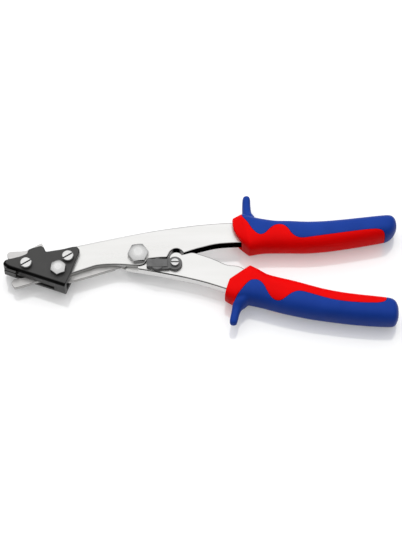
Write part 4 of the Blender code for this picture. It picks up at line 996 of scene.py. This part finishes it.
def latch(materials):
    """The latch with soft rims: an eye, a raised tab and a thumb bump."""
    low = LEVER_FRONT + FIT_GAP
    top = low + LATCH_THICKNESS
    half = LATCH_WIDTH / 2
    end = LATCH_PIVOT - Vector((LATCH_LENGTH, 0))
    outline = arc(LATCH_PIVOT, LATCH_EYE_RADIUS, *EYE_ARC)
    heel = -half - LATCH_HEEL
    spots = (
        (LATCH_TAB_LENGTH, half, 0), (0, half, 0), (0, -half, 0),
        (LATCH_TAB_LENGTH / 2, heel, 0), (LATCH_TAB_LENGTH, heel, 0),
    )
    tab = ((0, -half, 0), (LATCH_TAB_LENGTH, -half, 0), (LATCH_TAB_LENGTH, half, 0), (0, half, 0))
    piece = new_piece(
        "latch_form", prism(outline + corners(spots, 1, 1, end), low, top, LATCH_RIM))
    spot = LATCH_PIVOT - Vector((LATCH_THUMB_REACH, LATCH_THUMB_DROP))
    thumb = circle(spot, LATCH_THUMB_RADIUS)
    combine(
        piece, ("UNION", prism(thumb, low, top + LATCH_THUMB_LIFT, THUMB_RIM)),
        ("UNION", prism(corners(tab, 1, 1, end), low, top + LATCH_TAB_STEP, LATCH_RIM)),
        bore(LATCH_PIVOT, LATCH_SCREW_RADIUS + FIT_GAP, 0, top + CUT_OVERRUN))
    smooth_flats(piece)
    finish_piece(piece, "latch", "latch_body", materials["latch_steel"])


def opening_spring(materials):
    """The torsion spring: one wire with two straight legs and a fine coil between them."""
    top = LEVER_BACK - SPRING_TOP_GAP - SPRING_WIRE / 2
    bottom = top - SPRING_TURNS * (SPRING_WIRE + SPRING_GAP)
    count = round(SPRING_TURNS * COIL_POINTS)
    route = [Vector((SPRING_LEG, SPRING_RADIUS, top))]
    for step in range(count + 1):
        share = step / count
        spot = on_circle(ORIGIN, SPRING_RADIUS, math.pi / 2 + math.tau * SPRING_TURNS * share)
        route.append(Vector((spot.x, spot.y, top + (bottom - top) * share)))
    route.append(Vector((SPRING_LEG, -SPRING_RADIUS, bottom)))
    curve = bpy.data.curves.new("opening_spring_form", "CURVE")
    curve.dimensions = "3D"
    curve.bevel_depth = SPRING_WIRE / 2
    curve.bevel_resolution = WIRE_STEPS
    curve.use_fill_caps = True
    spline = curve.splines.new("POLY")
    spline.use_smooth = True
    spline.points.add(len(route) - 1)
    for point, place in zip(spline.points, route):
        point.co = (*place, 1)
    spring = bpy.data.objects.new("opening_spring_form", curve)
    bpy.context.scene.collection.objects.link(spring)
    finish_piece(spring, "opening_spring", "upper", materials["spring_steel"])


def superellipse(angle, power):
    """Unit coordinates on a full, slightly squared oval."""
    across, up = math.sin(angle), math.cos(angle)
    return (
        math.copysign(abs(across) ** power, across),
        math.copysign(abs(up) ** power, up),
    )


def smooth_rows(rows, steps):
    """Rows of a table with curved steps put in between."""
    padded = [rows[0], *rows, rows[-1]]
    result = []
    for index in range(len(rows) - 1):
        for step in range(steps):
            t = step / steps
            result.append([
                (2 * b + (c - a) * t + (2 * a - 5 * b + 4 * c - d) * t ** 2
                 + (3 * b - a - 3 * c + d) * t ** 3) / 2
                for a, b, c, d in zip(*padded[index:index + 4])
            ])
    result.append(rows[-1])
    return result


def straight_rows(rows, steps):
    """Rows of a table with straight steps put in between, without the last row."""
    result = []
    for first, second in zip(rows, rows[1:]):
        for step in range(steps):
            result.append([a + (b - a) * step / steps for a, b in zip(first, second)])
    return result


def grip_skin(shares, origin):
    """The whole grip: a collar with flat facets and a crease, then a smooth oval body."""
    collar = straight_rows(shares[:COLLAR_ROWS + 1], GRIP_STEPS)
    rows = collar + smooth_rows(shares[COLLAR_ROWS:], GRIP_STEPS)
    rings = []
    for index, (top_x, top_y, low_x, low_y, bow, thickness) in enumerate(rows):
        top = origin + Vector((top_x * GRIP_LENGTH, top_y * GRIP_WIDTH))
        low = origin + Vector((low_x * GRIP_LENGTH, low_y * GRIP_WIDTH))
        fade = min(1, max(0, index / len(collar) - 1))
        power = COLLAR_POWER + (GRIP_POWER - COLLAR_POWER) * fade
        ring = []
        for side in range(GRIP_SIDES):
            across, up = superellipse(math.tau * side / GRIP_SIDES, power)
            spot = (top + low) / 2 + across * (top - low) / 2
            spot.x += bow * GRIP_LENGTH * (1 - across ** 2)
            ring.append((spot.x, spot.y, MIDDLE * (1 + up * min(thickness, 1))))
        rings.append(ring)
    return loft(rings)


def guard_skin(shares, origin, reach, height):
    """The finger guard; a negative height turns it downward."""
    rings = []
    for offset, rise, width, thickness in smooth_rows(shares, GUARD_STEPS):
        centre = origin + Vector((reach + offset * GUARD_WIDTH, rise * height))
        ring = []
        for side in range(GRIP_SIDES):
            across, up = superellipse(math.tau * side / GRIP_SIDES, GRIP_POWER)
            half = Vector((width * GUARD_WIDTH / 2 * across, thickness * GUARD_THICKNESS / 2 * up))
            ring.append((centre.x + half.x, centre.y, MIDDLE + half.y))
        rings.append(ring)
    return loft(rings)


def grip_blank(name, body, guard):
    """Body and guard of a grip, melted into one soft skin."""
    blank = new_piece(name, grip_skin(*body))
    combine(blank, ("UNION", guard_skin(*guard)))
    remesh = blank.modifiers.new("remesh", "REMESH")
    remesh.mode = "VOXEL"
    remesh.voxel_size = GRIP_VOXEL
    remesh.use_smooth_shade = True
    smooth = blank.modifiers.new("smooth", "SMOOTH")
    smooth.iterations = GRIP_SMOOTHING
    apply_modifiers(blank)
    return blank


def grip(side, body, guard, seam_shares, tang_outline, materials):
    """The two halves of a grip on the tang of a lever, parted at the seam."""
    blank = grip_blank(side + "_grip_inner_form", body, guard)
    seam = corners(seam_shares, GRIP_LENGTH, GRIP_WIDTH, body[1])
    around = widened(seam, GRIP_SEAM)
    tang = widened(tang_outline, FIT_GAP)
    outer = bpy.data.objects.new(side + "_grip_outer_form", blank.data.copy())
    bpy.context.scene.collection.objects.link(outer)
    below, above = -CUT_OVERRUN, 2 * MIDDLE + CUT_OVERRUN
    for piece, node, outline, operation, slot in (
        (blank, "_grip_inner", seam, "INTERSECT", "red_grip"),
        (outer, "_grip_outer", around, "DIFFERENCE", "blue_grip"),
    ):
        combine(
            piece, (operation, prism(outline, below, above)),
            ("DIFFERENCE", prism(tang, LEVER_BACK - FIT_GAP, LEVER_FRONT + FIT_GAP)))
        piece.data.shade_smooth()
        piece.data.set_sharp_from_angle(angle=SEAM_ANGLE)
        finish_piece(piece, side + node, side, materials[slot])


def grips(materials):
    """Both grips with their guards."""
    body = (UPPER_GRIP_SHARES, UPPER_GRIP)
    guard = (UPPER_GUARD_SHARES, UPPER_GRIP, UPPER_GUARD_REACH, UPPER_GUARD_HEIGHT)
    grip("upper", body, guard, UPPER_SEAM_SHARES, arm_outline(), materials)
    body = (LOWER_GRIP_SHARES, LOWER_GRIP)
    guard = (LOWER_GUARD_SHARES, LOWER_GRIP, LOWER_GUARD_REACH, -LOWER_GUARD_HEIGHT)
    grip("lower", body, guard, LOWER_SEAM_SHARES, lever_outline(), materials)


bpy.context.scene.view_settings.view_transform = "Standard"
make_camera()
make_sky()
make_panel()
make_floor()
finishes = make_materials()
dress_nodes(finishes)
upper_arm(finishes)
lower_lever(finishes)
die_head(finishes)
punch_blade(finishes)
bolts(finishes)
latch(finishes)
opening_spring(finishes)
grips(finishes)
